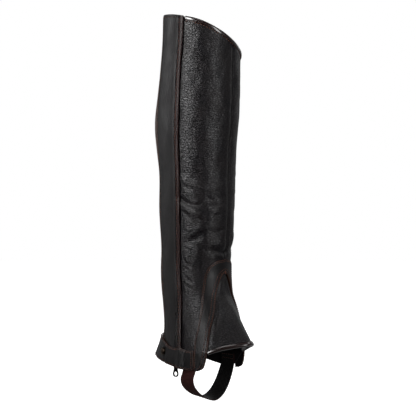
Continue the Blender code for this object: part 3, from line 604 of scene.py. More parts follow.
class FittingSettings(bpy.types.PropertyGroup):
    """The zip's teeth, the metal parts and the snap."""

    metal_colour: bpy.props.FloatVectorProperty(
        name="Metal colour", description="Plating of the slider and pull tab",
        subtype="COLOR", size=3, min=0.0, max=1.0, default=linear("#2c2a2a"))
    snap_colour: bpy.props.FloatVectorProperty(
        name="Snap colour", description="Plating of the snap", subtype="COLOR",
        size=3, min=0.0, max=1.0, default=linear("#40372f"))
    tooth_pitch: bpy.props.FloatProperty(
        name="Tooth pitch", description="From one tooth to the next on a side",
        unit="LENGTH", min=0.001, default=0.0026)


class StudioSettings(bpy.types.PropertyGroup):
    """The camera and the studio's light."""

    distance: bpy.props.FloatProperty(
        name="Distance", description="From the camera to the half chap", unit="LENGTH",
        min=0.5, default=2.3)
    lens: bpy.props.FloatProperty(
        name="Lens", description="Focal length of the camera", unit="CAMERA",
        min=10.0, default=159.2)
    key: bpy.props.FloatProperty(
        name="Key", description="Strength of the gridded softbox", subtype="POWER",
        min=0.0, default=0.66)
    side: bpy.props.FloatProperty(
        name="Side", description="Strength of the gridded box on the left", subtype="POWER",
        min=0.0, default=0.17)
    top: bpy.props.FloatProperty(
        name="Top", description="Strength of the wide box above", subtype="POWER",
        min=0.0, default=2.0)
    fill: bpy.props.FloatProperty(
        name="Fill", description="Strength of the narrow box on the right", subtype="POWER",
        min=0.0, default=5.2)
    crown: bpy.props.FloatProperty(
        name="Crown", description="Strength of the small box high on the right",
        subtype="POWER", min=0.0, default=1.4)
    rim: bpy.props.FloatProperty(
        name="Rim", description="Strength of the box behind the shin", subtype="POWER",
        min=0.0, default=0.7)
    back: bpy.props.FloatProperty(
        name="Back", description="Strength of the box behind, for the views from there",
        subtype="POWER", min=0.0, default=8.0)
    cove_behind: bpy.props.FloatProperty(
        name="Cove behind", description="Glow of the white cove behind the half chap",
        min=0.0, default=0.22)
    cove_before: bpy.props.FloatProperty(
        name="Cove before", description="Glow of the dim side where the camera stands",
        min=0.0, default=0.015)


# ------------------------------------------------------------------------- the leg form


def curve(keys, values, at):
    """Read a table's column between its rows, along a smooth curve."""
    keys = np.asarray(keys, float)
    values = np.asarray(values, float)
    at = np.clip(at, keys[0], keys[-1])
    slopes = np.gradient(values, keys)
    row = np.clip(np.searchsorted(keys, at) - 1, 0, len(keys) - 2)
    step = keys[row + 1] - keys[row]
    t = (at - keys[row]) / step
    start = (2 * t**3 - 3 * t**2 + 1) * values[row] + (t**3 - 2 * t**2 + t) * step * slopes[row]
    end = (3 * t**2 - 2 * t**3) * values[row + 1] + (t**3 - t**2) * step * slopes[row + 1]
    return start + end


def column(table, key, value, at):
    """Read one named column of a table at the given keys."""
    return curve([getattr(r, key) for r in table], [getattr(r, value) for r in table], at)


def ease(share):
    """A smooth step from 0 to 1."""
    share = np.clip(share, 0.0, 1.0)
    return share * share * (3 - 2 * share)


def form(angle, height):
    """Points of the leg form, without its folds."""
    side, front, back, forward = (
        column(SECTIONS, "height", name, height) for name in Section._fields[1:]
    )
    turn = (angle + 180.0) % 360.0 - 180.0
    sine = np.sin(np.radians(turn))
    cosine = np.cos(np.radians(turn))
    across = -side * cosine
    ahead = np.where(sine >= 0, front, back) * sine + forward

    rise = (FLARE_TOP - height) / (FLARE_TOP - TIP_HEIGHT)
    share = np.clip((np.sqrt(rise**2 + FLARE_EASE**2) + rise) / 2, 0.0, FLARE_LIMIT)
    share = np.where(turn > 0, share, 0.0)
    near = np.clip(np.where(turn <= 90, turn, 180 - turn), 0, 90)
    instep_side = column(INSTEP, "angle", "side", near) * np.where(turn <= 90, -1, 1)
    instep_ahead = column(INSTEP, "angle", "forward", near)
    across = (1 - share) * across + share * instep_side
    ahead = (1 - share) * ahead + share * instep_ahead
    return np.stack([across, -ahead, height], -1)


def fold_depth(angle, height):
    """How far the folds press the leather in."""
    depth = np.zeros_like(angle)
    for fold in FOLDS:
        along = np.radians((angle - fold.angle + 180.0) % 360.0 - 180.0) * FOLD_RADIUS
        up = height - fold.height
        slant = math.radians(fold.slant)
        run = along * math.cos(slant) + up * math.sin(slant)
        off = up * math.cos(slant) - along * math.sin(slant)
        depth += fold.depth * np.exp(-((run / fold.length) ** 2) - (off / fold.width) ** 2)
    ankle = np.clip((height - FOLD_FLOOR) / FOLD_FADE, 0.0, 1.0)
    hidden = np.clip((angle - FAR_FROM) / FAR_FADE, 0.0, 1.0)
    return depth * np.maximum(ankle, hidden)


def crease_depth(angle, height):
    """How far the fine creases and the slow waves press the grained panels in."""
    depth = np.zeros_like(angle)
    for crease in CREASES:
        start = np.array([math.radians(crease.angle) * FOLD_RADIUS, crease.height])
        end = np.array([math.radians(crease.end_angle) * FOLD_RADIUS, crease.end_height])
        span = np.linalg.norm(end - start)
        ahead = (end - start) / span
        x = np.radians(angle) * FOLD_RADIUS - start[0]
        y = height - start[1]
        share = (x * ahead[0] + y * ahead[1]) / span
        inside = np.clip(share * (1 - share) * 4, 0.0, 1.0)
        off = y * ahead[0] - x * ahead[1] + crease.sag * inside
        trough = np.exp(-((off / crease.width) ** 2))
        from_ridge = (off - RIDGE_PLACE * crease.width) / (RIDGE_SPREAD * crease.width)
        ridge = np.exp(-(from_ridge**2))
        depth += crease.depth * np.sqrt(inside) * (trough - RIDGE_SHARE * ridge)
    for wave in WAVES:
        phase = wave.turns * np.radians(angle) + wave.rise * height + wave.phase
        depth += wave.height * np.sin(phase)
    return depth


def leather(angle, height, lift=0.0):
    """Points of the leather at the given angles and heights, moved out by the lift."""
    angle, height, lift = np.broadcast_arrays(
        np.asarray(angle, float), np.asarray(height, float), np.asarray(lift, float)
    )
    round_step = form(angle + STEP_DEGREES, height) - form(angle - STEP_DEGREES, height)
    up_step = form(angle, height + STEP_UP) - form(angle, height - STEP_UP)
    normal = np.cross(round_step, up_step)
    normal /= np.linalg.norm(normal, axis=-1, keepdims=True)
    return form(angle, height) + normal * (lift - fold_depth(angle, height))[..., None]


def degrees_for(distance, angle, height):
    """The angle that spans a distance round the form."""
    step = form(np.asarray(angle + STEP_DEGREES), np.asarray(height))
    step = step - form(np.asarray(angle - STEP_DEGREES), np.asarray(height))
    return distance * 2 * STEP_DEGREES / np.linalg.norm(step, axis=-1)


def edge_height(table, angle):
    """Height of the top or the hem at an angle."""
    return column(table, "angle", "height", angle)


def hem_height(angle):
    """Height of the hem, whose inner side mirrors its outer one."""
    return edge_height(HEM_EDGE, np.where(angle > 90, 180 - angle, angle))


def fitted(level, angle):
    """Move a level height so that the outermost ones lie on the top and the hem."""
    top = edge_height(TOP_EDGE, angle)
    hem = hem_height(angle)
    upper = TOP_STRETCH + (level - TOP_STRETCH) * (top - TOP_STRETCH) / (TOP_LEVEL - TOP_STRETCH)
    lower = HEM_STRETCH + (level - HEM_STRETCH) * (hem - HEM_STRETCH) / (HEM_LEVEL - HEM_STRETCH)
    return np.where(level > TOP_STRETCH, upper, np.where(level < HEM_STRETCH, lower, level))


def guard_edge(height):
    """Angle of the zip guard's free edge."""
    return column(GUARD_EDGE, "height", "angle", height)


def zip_centre(height):
    """Angle of the zip's middle line."""
    edge = guard_edge(height)
    return edge - degrees_for(ZIP_SETBACK, edge, height)


def gore_seam(height):
    """Angle of the seam between the side panel and the gore."""
    return column(OVERLAY, "gore_height", "gore_angle", height)


def front_edge(level, side):
    """Edge of a piece along the seams in front of it, on their near (-1) or far (1) side."""
    line = gore_seam(level)
    for _ in range(SEAM_PASSES):
        line = gore_seam(fitted(level, line))
    line = np.where(level > APEX_LEVEL, FRONT_SEAM, line)
    return line + side * degrees_for(SEAM_GAP / 2, line, level)


def surface_frame(angle, height, lift):
    """Axes on the form: x forward round the leg, y up and z out of the leather."""
    place = Vector(leather(angle, height, lift))
    forward = Vector(form(np.asarray(angle + STEP_DEGREES), np.asarray(height))
                     - form(np.asarray(angle - STEP_DEGREES), np.asarray(height)))
    forward.z = 0.0
    forward.normalize()
    up = Vector((0.0, 0.0, 1.0))
    axes = Matrix((forward, up, forward.cross(up))).transposed()
    return Matrix.Translation(place) @ axes.to_4x4()


# ------------------------------------------------------------------- cutting and joining


def cut_sheet(across, along, place):
    """A sheet as a grid, laid by a rule that turns shares across and along into points.

    Its UV map is the flat cut in metres, measured from the middle of each row.
    """
    shape = bmesh.new()
    bmesh.ops.create_grid(shape, x_segments=across, y_segments=along, size=0.5)
    shape.verts.index_update()
    share = np.array([v.co for v in shape.verts]).reshape(along + 1, across + 1, 3) + 0.5
    points = place(share[..., 0], share[..., 1])
    for vert, point in zip(shape.verts, points.reshape(-1, 3)):
        vert.co = point

    steps_round = np.linalg.norm(np.diff(points, axis=1), axis=-1)
    steps_up = np.linalg.norm(np.diff(points, axis=0), axis=-1).mean(axis=1)
    u = np.pad(np.cumsum(steps_round, axis=1), ((0, 0), (1, 0)))
    u = u - u[:, across // 2, None]
    v = np.pad(np.cumsum(steps_up), (1, 0))[:, None] + 0 * u
    flat = np.stack([u, v], -1).reshape(-1, 2)
    layer = shape.loops.layers.uv.new("cut")
    for face in shape.faces:
        for loop in face.loops:
            loop[layer].uv = flat[loop.vert.index]
    return shape


def bordered(share, count, border):
    """Move a sheet's outermost lines but one to the width of its stained border."""
    inner = (share * count - 1) / (count - 2)
    moved = border + (1 - 2 * border) * inner
    return np.where(share * count < 0.5, 0.0, np.where(share * count > count - 0.5, 1.0, moved))


def stain(shape, across, chosen, slot):
    """Give the chosen cells of a sheet another material, by their column and row."""
    for face in shape.faces:
        row, cell = divmod(min(vert.index for vert in face.verts), across + 1)
        if chosen(cell, row):
            face.material_index = slot


def make_piece(name, shape, materials, body="chap", stands_for=(), sharp=None):
    """Turn a finished shape into a piece that rides on its body and replaces its solids."""
    if not shape.faces:
        raise RuntimeError(f"{name} has no faces")
    mesh = bpy.data.meshes.new(name)
    shape.to_mesh(mesh)
    shape.free()
    mesh.shade_smooth()
    if sharp is not None:
        mesh.set_sharp_from_angle(angle=math.radians(sharp))
    for material in materials:
        mesh.materials.append(material)
    piece = bpy.data.objects.new(name, mesh)
    bpy.context.scene.collection.objects.link(piece)
    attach(piece, body)
    if stands_for:
        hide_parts(*stands_for)
    return piece


def thicken(piece, thickness, offset=-1.0, back=1, rim=2, edge=CUT_ROUND):
    """Give a sheet its thickness, its other face and a rounded cut edge."""
    solid = piece.modifiers.new("thickness", "SOLIDIFY")
    solid.thickness = thickness
    solid.offset = offset
    solid.material_offset = back
    solid.material_offset_rim = rim
    rounding = piece.modifiers.new("cut_edge", "BEVEL")
    rounding.width = edge
    rounding.segments = 2
    rounding.limit_method = "ANGLE"
    rounding.angle_limit = math.radians(CUT_CORNER)
    rounding.harden_normals = True


def block(shape, size, place, soft=0.0):
    """Add a closed block with softened edges."""
    made = bmesh.ops.create_cube(shape, size=1.0, matrix=place @ Matrix.Diagonal((*size, 1.0)))
    edges = list({edge for vert in made["verts"] for edge in vert.link_edges})
    if soft:
        bmesh.ops.bevel(shape, geom=edges, offset=soft, offset_type="OFFSET", segments=2,
                        profile=0.5, affect="EDGES", material=-1)


# -------------------------------------------------------------------------- materials


def fill(made, inputs):
    """Set or link the inputs of a node."""
    for socket, value in inputs.items():
        if isinstance(value, bpy.types.NodeSocket):
            made.id_data.links.new(value, made.inputs[socket])
        else:
            made.inputs[socket].default_value = value


def node(tree, kind, inputs=None, **options):
    """Add a node, set its options, and set or link its inputs."""
    made = tree.nodes.new("ShaderNode" + kind)
    for option, value in options.items():
        setattr(made, option, value)
    fill(made, inputs or {})
    return made


def shade(colour, factor):
    """A colour made darker or lighter, with its alpha."""
    return (*(min(channel * factor, 1.0) for channel in colour), 1.0)


def pebbled_drum_dyed_cowhide(tree, shader, settings):
    """Cowhide, drum-dyed black-brown and tumbled until its grain pebbles.

    Each pebble is a low dome, 2 mm up the leg and 4 mm round it, that catches its own soft
    highlight, and tumbling leaves short level wrinkles between groups of them. The furrows
    are duller, and a painted shade makes them a little darker than the pebble tops; the
    finish is uneven over the hide.
    """
    flat = node(tree, "UVMap", uv_map="cut").outputs["UV"]
    wander = node(tree, "TexNoise", {"Vector": flat, "Scale": 1 / 0.004, "Detail": 2.0},
                  noise_dimensions="2D")
    bent = node(tree, "VectorMath", {0: wander.outputs["Color"], 1: (0.0022, 0.0022, 0.0), 2: flat},
                operation="MULTIPLY_ADD").outputs["Vector"]
    broad = node(tree, "Mapping", {"Vector": bent, "Scale": (0.50, 1.0, 1.0)}).outputs["Vector"]
    furrow = node(tree, "TexVoronoi", {"Vector": broad, "Scale": 1 / settings.pebble},
                  voronoi_dimensions="2D", feature="DISTANCE_TO_EDGE")
    dome = node(tree, "MapRange", {"Value": furrow.outputs["Distance"], "From Max": 0.36},
                interpolation_type="SMOOTHERSTEP").outputs["Result"]
    cell = node(tree, "TexVoronoi", {"Vector": broad, "Scale": 1 / settings.pebble},
                voronoi_dimensions="2D").outputs["Color"]
    level_way = node(tree, "Mapping", {"Vector": bent, "Scale": (0.30, 1.0, 1.0)}).outputs["Vector"]
    wrinkle = node(tree, "TexNoise", {"Vector": level_way, "Scale": 1 / 0.0027, "Detail": 2.5,
                                      "Distortion": 0.8}, noise_dimensions="2D").outputs["Fac"]
    hide = node(tree, "TexNoise", {"Vector": flat, "Scale": 1 / 0.022, "Detail": 4.0},
                noise_dimensions="2D").outputs["Fac"]

    uneven = node(tree, "MapRange",
                  {"Value": cell, "To Min": 0.45, "To Max": 1.0}).outputs["Result"]
    height = node(tree, "Math", {0: dome, 1: uneven}, operation="MULTIPLY").outputs["Value"]
    grain = node(tree, "Bump", {"Distance": settings.pebble_depth, "Height": height})
    bump = node(tree, "Bump", {"Distance": settings.wrinkle_depth, "Height": wrinkle,
                               "Normal": grain.outputs["Normal"]})

    # Painted shade: the colour is darker in the furrows between pebbles (0.70 of the dye) than on
    # the pebble tops (1.08).
    tone = node(tree, "Mix", {0: dome, 6: shade(settings.panel_colour, 0.70),
                              7: shade(settings.panel_colour, 1.08)}, data_type="RGBA")
    patch = node(tree, "MapRange", {"Value": hide, "From Min": 0.3, "From Max": 0.7,
                                    "To Min": 0.0, "To Max": 0.15}).outputs["Result"]
    worn = node(tree, "Mix", {0: patch, 6: tone.outputs[2], 7: shade(settings.edge_colour, 0.45)},
                data_type="RGBA")
    gloss = node(tree, "MapRange", {"Value": hide, "From Min": 0.3, "From Max": 0.7,
                                    "To Min": 0.33, "To Max": 0.41}).outputs["Result"]
    dull = node(tree, "Math", {0: dome, 1: -0.08, 2: 0.08},
                operation="MULTIPLY_ADD").outputs["Value"]
    rough = node(tree, "Math", {0: gloss, 1: dull}, operation="ADD").outputs["Value"]
    shine = node(tree, "MapRange",
                 {"Value": dome, "To Min": 0.46, "To Max": 0.68}).outputs["Result"]
    fill(shader, {"Base Color": worn.outputs[2], "Roughness": rough, "Specular IOR Level": shine,
                  "Normal": bump.outputs["Normal"]})


def waxed_smooth_calf(tree, shader, settings):
    """Smooth calf, dyed and waxed: an even satin sheen over a very fine grain.

    The grain is really 0.3 mm wide, and is drawn at 1 mm so that it shows. Soft patches
    where the wax has rubbed thinner break the sheen.
    """
    flat = node(tree, "UVMap", uv_map="cut").outputs["UV"]
    grain = node(tree, "TexVoronoi", {"Vector": flat, "Scale": 1 / settings.pore},
                 voronoi_dimensions="2D", feature="SMOOTH_F1").outputs["Distance"]
    fine = node(tree, "TexNoise", {"Vector": flat, "Scale": 1 / 0.0022, "Detail": 3.0},
                noise_dimensions="2D").outputs["Fac"]
    wax = node(tree, "TexNoise", {"Vector": flat, "Scale": 1 / 0.016, "Detail": 3.0},
               noise_dimensions="2D").outputs["Fac"]
    height = node(tree, "Math", {0: grain, 1: 0.5, 2: fine}, operation="MULTIPLY_ADD")
    bump = node(tree, "Bump", {"Distance": 0.00020, "Height": height.outputs["Value"]})
    tone = node(tree, "Mix", {0: fine, 6: shade(settings.strip_colour, 0.70),
                              7: shade(settings.strip_colour, 1.20)}, data_type="RGBA")
    gloss = node(tree, "MapRange", {"Value": wax, "From Min": 0.3, "From Max": 0.7,
                                    "To Min": 0.36, "To Max": 0.50}).outputs["Result"]
    fill(shader, {"Base Color": tone.outputs[2], "Roughness": gloss,
                  "Normal": bump.outputs["Normal"]})


def buffed_flesh_side(tree, shader, settings):
    """The flesh side of the hide, buffed to a short black nap that hardly shines."""
    place = node(tree, "TexCoord").outputs["Object"]
    nap = node(tree, "TexNoise", {"Vector": place, "Scale": 1 / 0.0009, "Detail": 3.0})
    bump = node(tree, "Bump", {"Distance": 0.00015, "Height": nap.outputs["Fac"]})
    tone = node(tree, "Mix", {0: nap.outputs["Fac"], 6: shade(settings.flesh_colour, 0.6),
                              7: shade(settings.flesh_colour, 1.4)}, data_type="RGBA")
    fill(shader, {"Base Color": tone.outputs[2], "Roughness": 0.92, "Specular IOR Level": 0.2,
                  "Sheen Weight": 0.08, "Normal": bump.outputs["Normal"]})


def stained_cut_edge(tree, shader, settings):
    """Cut edges of the leather, stained brown and burnished: fibres under a thin gloss."""
    place = node(tree, "TexCoord").outputs["Object"]
    fibre = node(tree, "TexNoise", {"Vector": place, "Scale": 1 / 0.0008, "Detail": 3.0})
    bump = node(tree, "Bump", {"Distance": 0.00008, "Height": fibre.outputs["Fac"]})
    tone = node(tree, "Mix", {0: fibre.outputs["Fac"], 6: shade(settings.edge_colour, 0.6),
                              7: shade(settings.edge_colour, 1.7)}, data_type="RGBA")
    fill(shader, {"Base Color": tone.outputs[2], "Roughness": 0.42,
                  "Normal": bump.outputs["Normal"]})


def satin_brown_binding(tree, shader, settings):
    """Thin goat skin, dyed brown and left unglazed: satin, with fine cross wrinkles."""
    flat = node(tree, "UVMap", uv_map="cut").outputs["UV"]
    wrinkle = node(tree, "TexNoise", {"Vector": flat, "Scale": 1 / 0.0019, "Detail": 3.0},
                   noise_dimensions="2D").outputs["Fac"]
    bump = node(tree, "Bump", {"Distance": 0.00030, "Height": wrinkle})
    tone = node(tree, "Mix", {0: wrinkle, 6: shade(settings.binding_colour, 0.70),
                              7: shade(settings.binding_colour, 1.60)}, data_type="RGBA")
    fill(shader, {"Base Color": tone.outputs[2], "Roughness": 0.36,
                  "Normal": bump.outputs["Normal"]})


def glazed_brown_binding(tree, shader, settings):
    """Thin goat skin, dyed brown and glazed: a glossy coat over fine cross wrinkles."""
    flat = node(tree, "UVMap", uv_map="cut").outputs["UV"]
    wrinkle = node(tree, "TexNoise", {"Vector": flat, "Scale": 1 / 0.0024, "Detail": 3.0},
                   noise_dimensions="2D").outputs["Fac"]
    bump = node(tree, "Bump", {"Distance": 0.00016, "Height": wrinkle})
    tone = node(tree, "Mix", {0: wrinkle, 6: shade(settings.binding_colour, 0.55),
                              7: shade(settings.binding_colour, 1.35)}, data_type="RGBA")
    fill(shader, {"Base Color": tone.outputs[2], "Roughness": 0.32, "Specular IOR Level": 0.7,
                  "Coat Weight": 1.0, "Coat Roughness": 0.12, "Coat IOR": 1.7,
                  "Normal": bump.outputs["Normal"]})


def ribbed_woven_elastic(tree, shader, settings):
    """Woven elastic: brown yarn in upright ribs, crossed by the rubber's fine lines."""
    flat = node(tree, "UVMap", uv_map="cut").outputs["UV"]
    ribs = node(tree, "TexWave", {"Vector": flat, "Scale": BAND / settings.rib},
                bands_direction="X").outputs["Fac"]
    picks = node(tree, "TexWave", {"Vector": flat, "Scale": BAND / 0.0011, "Distortion": 0.6},
                 bands_direction="Y").outputs["Fac"]
    fuzz = node(tree, "TexNoise", {"Vector": flat, "Scale": 1 / 0.0005},
                noise_dimensions="2D").outputs["Fac"]
    woven = node(tree, "Math", {0: picks, 1: 0.45, 2: ribs},
                 operation="MULTIPLY_ADD").outputs["Value"]
    weave = node(tree, "Math", {0: fuzz, 1: 0.3, 2: woven},
                 operation="MULTIPLY_ADD").outputs["Value"]
    bump = node(tree, "Bump", {"Distance": 0.0004, "Height": weave})
    tone = node(tree, "Mix", {0: weave, 6: shade(settings.elastic_colour, 0.35),
                              7: shade(settings.elastic_colour, 1.15)}, data_type="RGBA")
    fill(shader, {"Base Color": tone.outputs[2], "Roughness": 0.88, "Sheen Weight": 0.25,
                  "Sheen Roughness": 0.5, "Normal": bump.outputs["Normal"]})


def brown_ribbed_strap_face(tree, shader, settings):
    """The strap's outer face: dark brown elastic, woven in close lengthwise ribs."""
    flat = node(tree, "UVMap", uv_map="cut").outputs["UV"]
    ribs = node(tree, "TexWave", {"Vector": flat, "Scale": BAND / 0.0017, "Distortion": 0.3},
                bands_direction="X").outputs["Fac"]
    picks = node(tree, "TexWave", {"Vector": flat, "Scale": BAND / 0.0012},
                 bands_direction="Y").outputs["Fac"]
    weave = node(tree, "Math", {0: picks, 1: 0.5, 2: ribs},
                 operation="MULTIPLY_ADD").outputs["Value"]
    bump = node(tree, "Bump", {"Distance": 0.00035, "Height": weave})
    tone = node(tree, "Mix", {0: weave, 6: shade(settings.strap_colour, 0.45),
                              7: shade(settings.strap_colour, 1.25)}, data_type="RGBA")
    fill(shader, {"Base Color": tone.outputs[2], "Roughness": 0.85, "Specular IOR Level": 0.2,
                  "Normal": bump.outputs["Normal"]})


def black_lattice_strap_back(tree, shader, settings):
    """The strap's inner face: black elastic with a faint lattice of crossing yarns."""
    flat = node(tree, "UVMap", uv_map="cut").outputs["UV"]
    one_way = node(tree, "TexWave", {"Vector": flat, "Scale": BAND / 0.0030},
                   bands_direction="DIAGONAL").outputs["Fac"]
    mirrored = node(tree, "Mapping", {"Vector": flat, "Scale": (-1.0, 1.0, 1.0)}).outputs["Vector"]
    other_way = node(tree, "TexWave", {"Vector": mirrored, "Scale": BAND / 0.0030},
                     bands_direction="DIAGONAL").outputs["Fac"]
    lattice = node(tree, "Math", {0: one_way, 1: other_way}, operation="MAXIMUM").outputs["Value"]
    yarn = node(tree, "MapRange", {"Value": lattice, "From Min": 0.80, "From Max": 1.0},
                interpolation_type="SMOOTHSTEP").outputs["Result"]
    bump = node(tree, "Bump", {"Distance": 0.00020, "Height": yarn})
    tone = node(tree, "Mix", {0: yarn, 6: shade(settings.strap_back_colour, 0.7),
                              7: shade(settings.strap_back_colour, 2.2)}, data_type="RGBA")
    fill(shader, {"Base Color": tone.outputs[2], "Roughness": 0.78,
                  "Normal": bump.outputs["Normal"]})


def black_polyester_twill_tape(tree, shader):
    """The zip's tape: black polyester in a fine herringbone twill."""
    flat = node(tree, "UVMap", uv_map="cut").outputs["UV"]
    twill = node(tree, "TexWave", {"Vector": flat, "Scale": BAND / 0.0011, "Distortion": 0.4},
                 bands_direction="DIAGONAL").outputs["Fac"]
    bump = node(tree, "Bump", {"Distance": 0.0002, "Height": twill})
    tone = node(tree, "Mix", {0: twill, 6: (*linear("#121112"), 1.0), 7: (*linear("#262426"), 1.0)},
                data_type="RGBA")
    fill(shader, {"Base Color": tone.outputs[2], "Roughness": 0.75,
                  "Normal": bump.outputs["Normal"]})


def black_moulded_acetal(tree, shader):
    """The zip's teeth: black acetal, injection moulded, with a faint skin texture."""
    place = node(tree, "TexCoord").outputs["Object"]
    skin = node(tree, "TexNoise", {"Vector": place, "Scale": 1 / 0.0005}).outputs["Fac"]
    bump = node(tree, "Bump", {"Distance": 0.00002, "Height": skin})
    tone = node(tree, "Mix", {0: skin, 6: (*linear("#111012"), 1.0), 7: (*linear("#1f1e20"), 1.0)},
                data_type="RGBA")
    fill(shader, {"Base Color": tone.outputs[2], "Roughness": 0.38,
                  "Normal": bump.outputs["Normal"]})


def brown_bonded_nylon_thread(tree, shader, settings):
    """Bonded nylon thread, brown: a slight shine, with the twist of its plies."""
    place = node(tree, "TexCoord").outputs["Object"]
    plies = node(tree, "TexNoise", {"Vector": place, "Scale": 1 / 0.0011}).outputs["Fac"]
    bump = node(tree, "Bump", {"Distance": 0.00006, "Height": plies})
    tone = node(tree, "Mix", {0: plies, 6: shade(settings.thread_colour, 0.55),
                              7: shade(settings.thread_colour, 1.5)}, data_type="RGBA")
    fill(shader, {"Base Color": tone.outputs[2], "Roughness": 0.48,
                  "Normal": bump.outputs["Normal"]})


def gunmetal_plated_zinc(tree, shader, settings):
    """Die-cast zinc, plated gunmetal: dark satin metal, rubbed brighter here and there."""
    place = node(tree, "TexCoord").outputs["Object"]
    rub = node(tree, "TexNoise",
               {"Vector": place, "Scale": 1 / 0.0024, "Detail": 3.0}).outputs["Fac"]
    bump = node(tree, "Bump", {"Distance": 0.00003, "Height": rub})
    tone = node(tree, "Mix", {0: rub, 6: shade(settings.metal_colour, 0.6),
                              7: shade(settings.metal_colour, 1.3)}, data_type="RGBA")
    rough = node(tree, "MapRange", {"Value": rub, "To Min": 0.24, "To Max": 0.46}).outputs["Result"]
    fill(shader, {"Base Color": tone.outputs[2], "Metallic": 1.0, "Roughness": rough,
                  "Normal": bump.outputs["Normal"]})


def antique_plated_brass(tree, shader, settings):
    """Pressed brass, plated an antique beige: soft gloss, darker where it is tarnished."""
    place = node(tree, "TexCoord").outputs["Object"]
    tarnish = node(tree, "TexNoise",
                   {"Vector": place, "Scale": 1 / 0.003, "Detail": 3.0}).outputs["Fac"]
    tone = node(tree, "Mix", {0: tarnish, 6: shade(settings.snap_colour, 0.55),
                              7: shade(settings.snap_colour, 1.3)}, data_type="RGBA")
    rough = node(tree, "MapRange",
                 {"Value": tarnish, "To Min": 0.22, "To Max": 0.40}).outputs["Result"]
    fill(shader, {"Base Color": tone.outputs[2], "Metallic": 1.0, "Roughness": rough})


def white_background_paper(tree, shader):
    """White background paper, lit until it hardly shows a shadow, with a faint tooth."""
    place = node(tree, "TexCoord").outputs["Object"]
    tooth = node(tree, "TexNoise", {"Vector": place, "Scale": 1 / 0.002}).outputs["Fac"]
    tone = node(tree, "Mix", {0: tooth, 6: (*linear("#f4f4f2"), 1.0), 7: (*linear("#ffffff"), 1.0)},
                data_type="RGBA")
    fill(shader, {"Base Color": tone.outputs[2], "Roughness": 0.9,
                  "Emission Color": (1.0, 1.0, 1.0, 1.0), "Emission Strength": 1.0})


def finish(make, *settings):
    """The material of a maker's name, made once and shared by the pieces that use it."""
    material = bpy.data.materials.get(make.__name__)
    if material is None:
        material = bpy.data.materials.new(make.__name__)
        material.use_nodes = True
        tree = material.node_tree
        make(tree, tree.nodes["Principled BSDF"], *settings)
    return material


# ----------------------------------------------------------------------------- pieces


def level_of(share):
    """Level height of a share up a whole panel."""
    return HEM_LEVEL + (TOP_LEVEL - HEM_LEVEL) * share


def ripple(table, distance):
    """Height of a row of ridges and grooves at a distance from an edge."""
    return sum(r.rise * np.exp(-(((distance - r.behind) / r.spread) ** 2)) for r in table)


def up_the_shin(level):
    """1 up the shin, and 0 at the overlay's tip and at the top edge."""
    return ease((level - APEX_LEVEL) / SEAM_FADE) * ease((TOP_LEVEL - level) / (2 * SEAM_FADE))


def seam_dip(distance, level):
    """How far a panel dips at a distance from the front seam."""
    return SEAM_SINK * np.exp(-((distance / SEAM_SPREAD) ** 2)) * up_the_shin(level)


def lay_outer(share, along):
    """The outer panel, from behind the zip guard's edge to the front seam."""
    level = level_of(along[:, :1])
    centre = zip_centre(level)
    low = centre + degrees_for(PANEL_STANDOFF, centre, level)
    high = front_edge(level, -1)
    angle = low + (high - low) * share
    height = fitted(level + 0 * angle, angle)
    to_seam = (high - angle) / degrees_for(1.0, angle, height)
    return leather(angle, height, -seam_dip(to_seam, level) - crease_depth(angle, height))


def inner_lift(angle, height, level):
    """Lift of the inner panel, with its swell beside the front seam."""
    from_seam = (angle - FRONT_SEAM) / degrees_for(1.0, angle, height)
    swell = ripple(SHIN_RIPPLES, from_seam) * up_the_shin(level)
    return swell - seam_dip(from_seam, level) - crease_depth(angle, height)


def lay_inner(share, along):
    """The inner panel, from the front seam round to the elastic."""
    level = level_of(along[:, :1])
    low = np.where(level > APEX_LEVEL, front_edge(level, 1), 180.0 - front_edge(level, -1))
    high = BACK_SEAM - BACK_PLAY
    angle = low + (high - low) * share ** PANEL_EASE
    height = fitted(level + 0 * angle, angle)
    return leather(angle, height, inner_lift(angle, height, level))


def lay_gore(share, along):
    """The gore, with its sides and its tip under the overlay."""
    level = HEM_LEVEL + (TIP_LEVEL - HEM_LEVEL) * along[:, :1]
    line = front_edge(level, 1)
    low = line - degrees_for(UNDERLAP, line, level)
    angle = low + (180.0 - 2 * low) * share
    height = fitted(level + 0 * angle, angle)
    inside = (90.0 - line - np.abs(angle - 90.0)) / degrees_for(1.0, angle, height)
    lift = UNDERLAP_LIFT * np.exp(-((np.maximum(inside, 0.0) / UNDERLAP_FADE) ** 2))
    lift = lift + ripple(GORE_SWELL, inside)
    grown = ease((height - hem_height(angle)) / GORE_HEM_FADE - GORE_HEM_START)
    lift = lift * (GORE_HEM_SHARE + (1 - GORE_HEM_SHARE) * grown)
    return leather(angle, height, lift - crease_depth(angle, height))


def lay_elastic(share, along):
    """The stretch panel down the back, swollen a little at the calf."""
    level = level_of(along[:, :1])
    back = BACK_SEAM - 360.0 + BACK_PLAY
    angle = back + (ELASTIC_FRONT - back) * share
    height = fitted(level + 0 * angle, angle)
    bulge = np.sin(math.pi * np.clip((angle - back) / (GUARD_BACK - back), 0.0, 1.0)) ** 2
    swell = bulge * np.exp(-(((height - SWELL_HEIGHT) / SWELL_SPREAD) ** 2))
    return leather(angle, height, SWELL_DEPTH * swell)


def retreat(level):
    """How much further back the guard's stitches stand near its top."""
    return STITCH_RETREAT * ease((level - TOP_LEVEL + RETREAT_SPAN) / RETREAT_SPAN)


def guard_place(from_edge, level):
    """Angle, height and lift on the zip guard, by distance behind its free edge."""
    edge = guard_edge(level)
    angle = edge - from_edge * degrees_for(1.0, edge, level)
    back = from_edge - retreat(level) * ease(from_edge / GUARD_STITCH)
    lift = LAYER_GAP + LEATHER + ripple(GUARD_RIPPLES, back)
    lift = lift + GUARD_WAVE * np.sin(from_edge / GUARD_WAVE_ACROSS + level / GUARD_WAVE_UP)
    return angle, fitted(level + 0 * angle, angle), lift


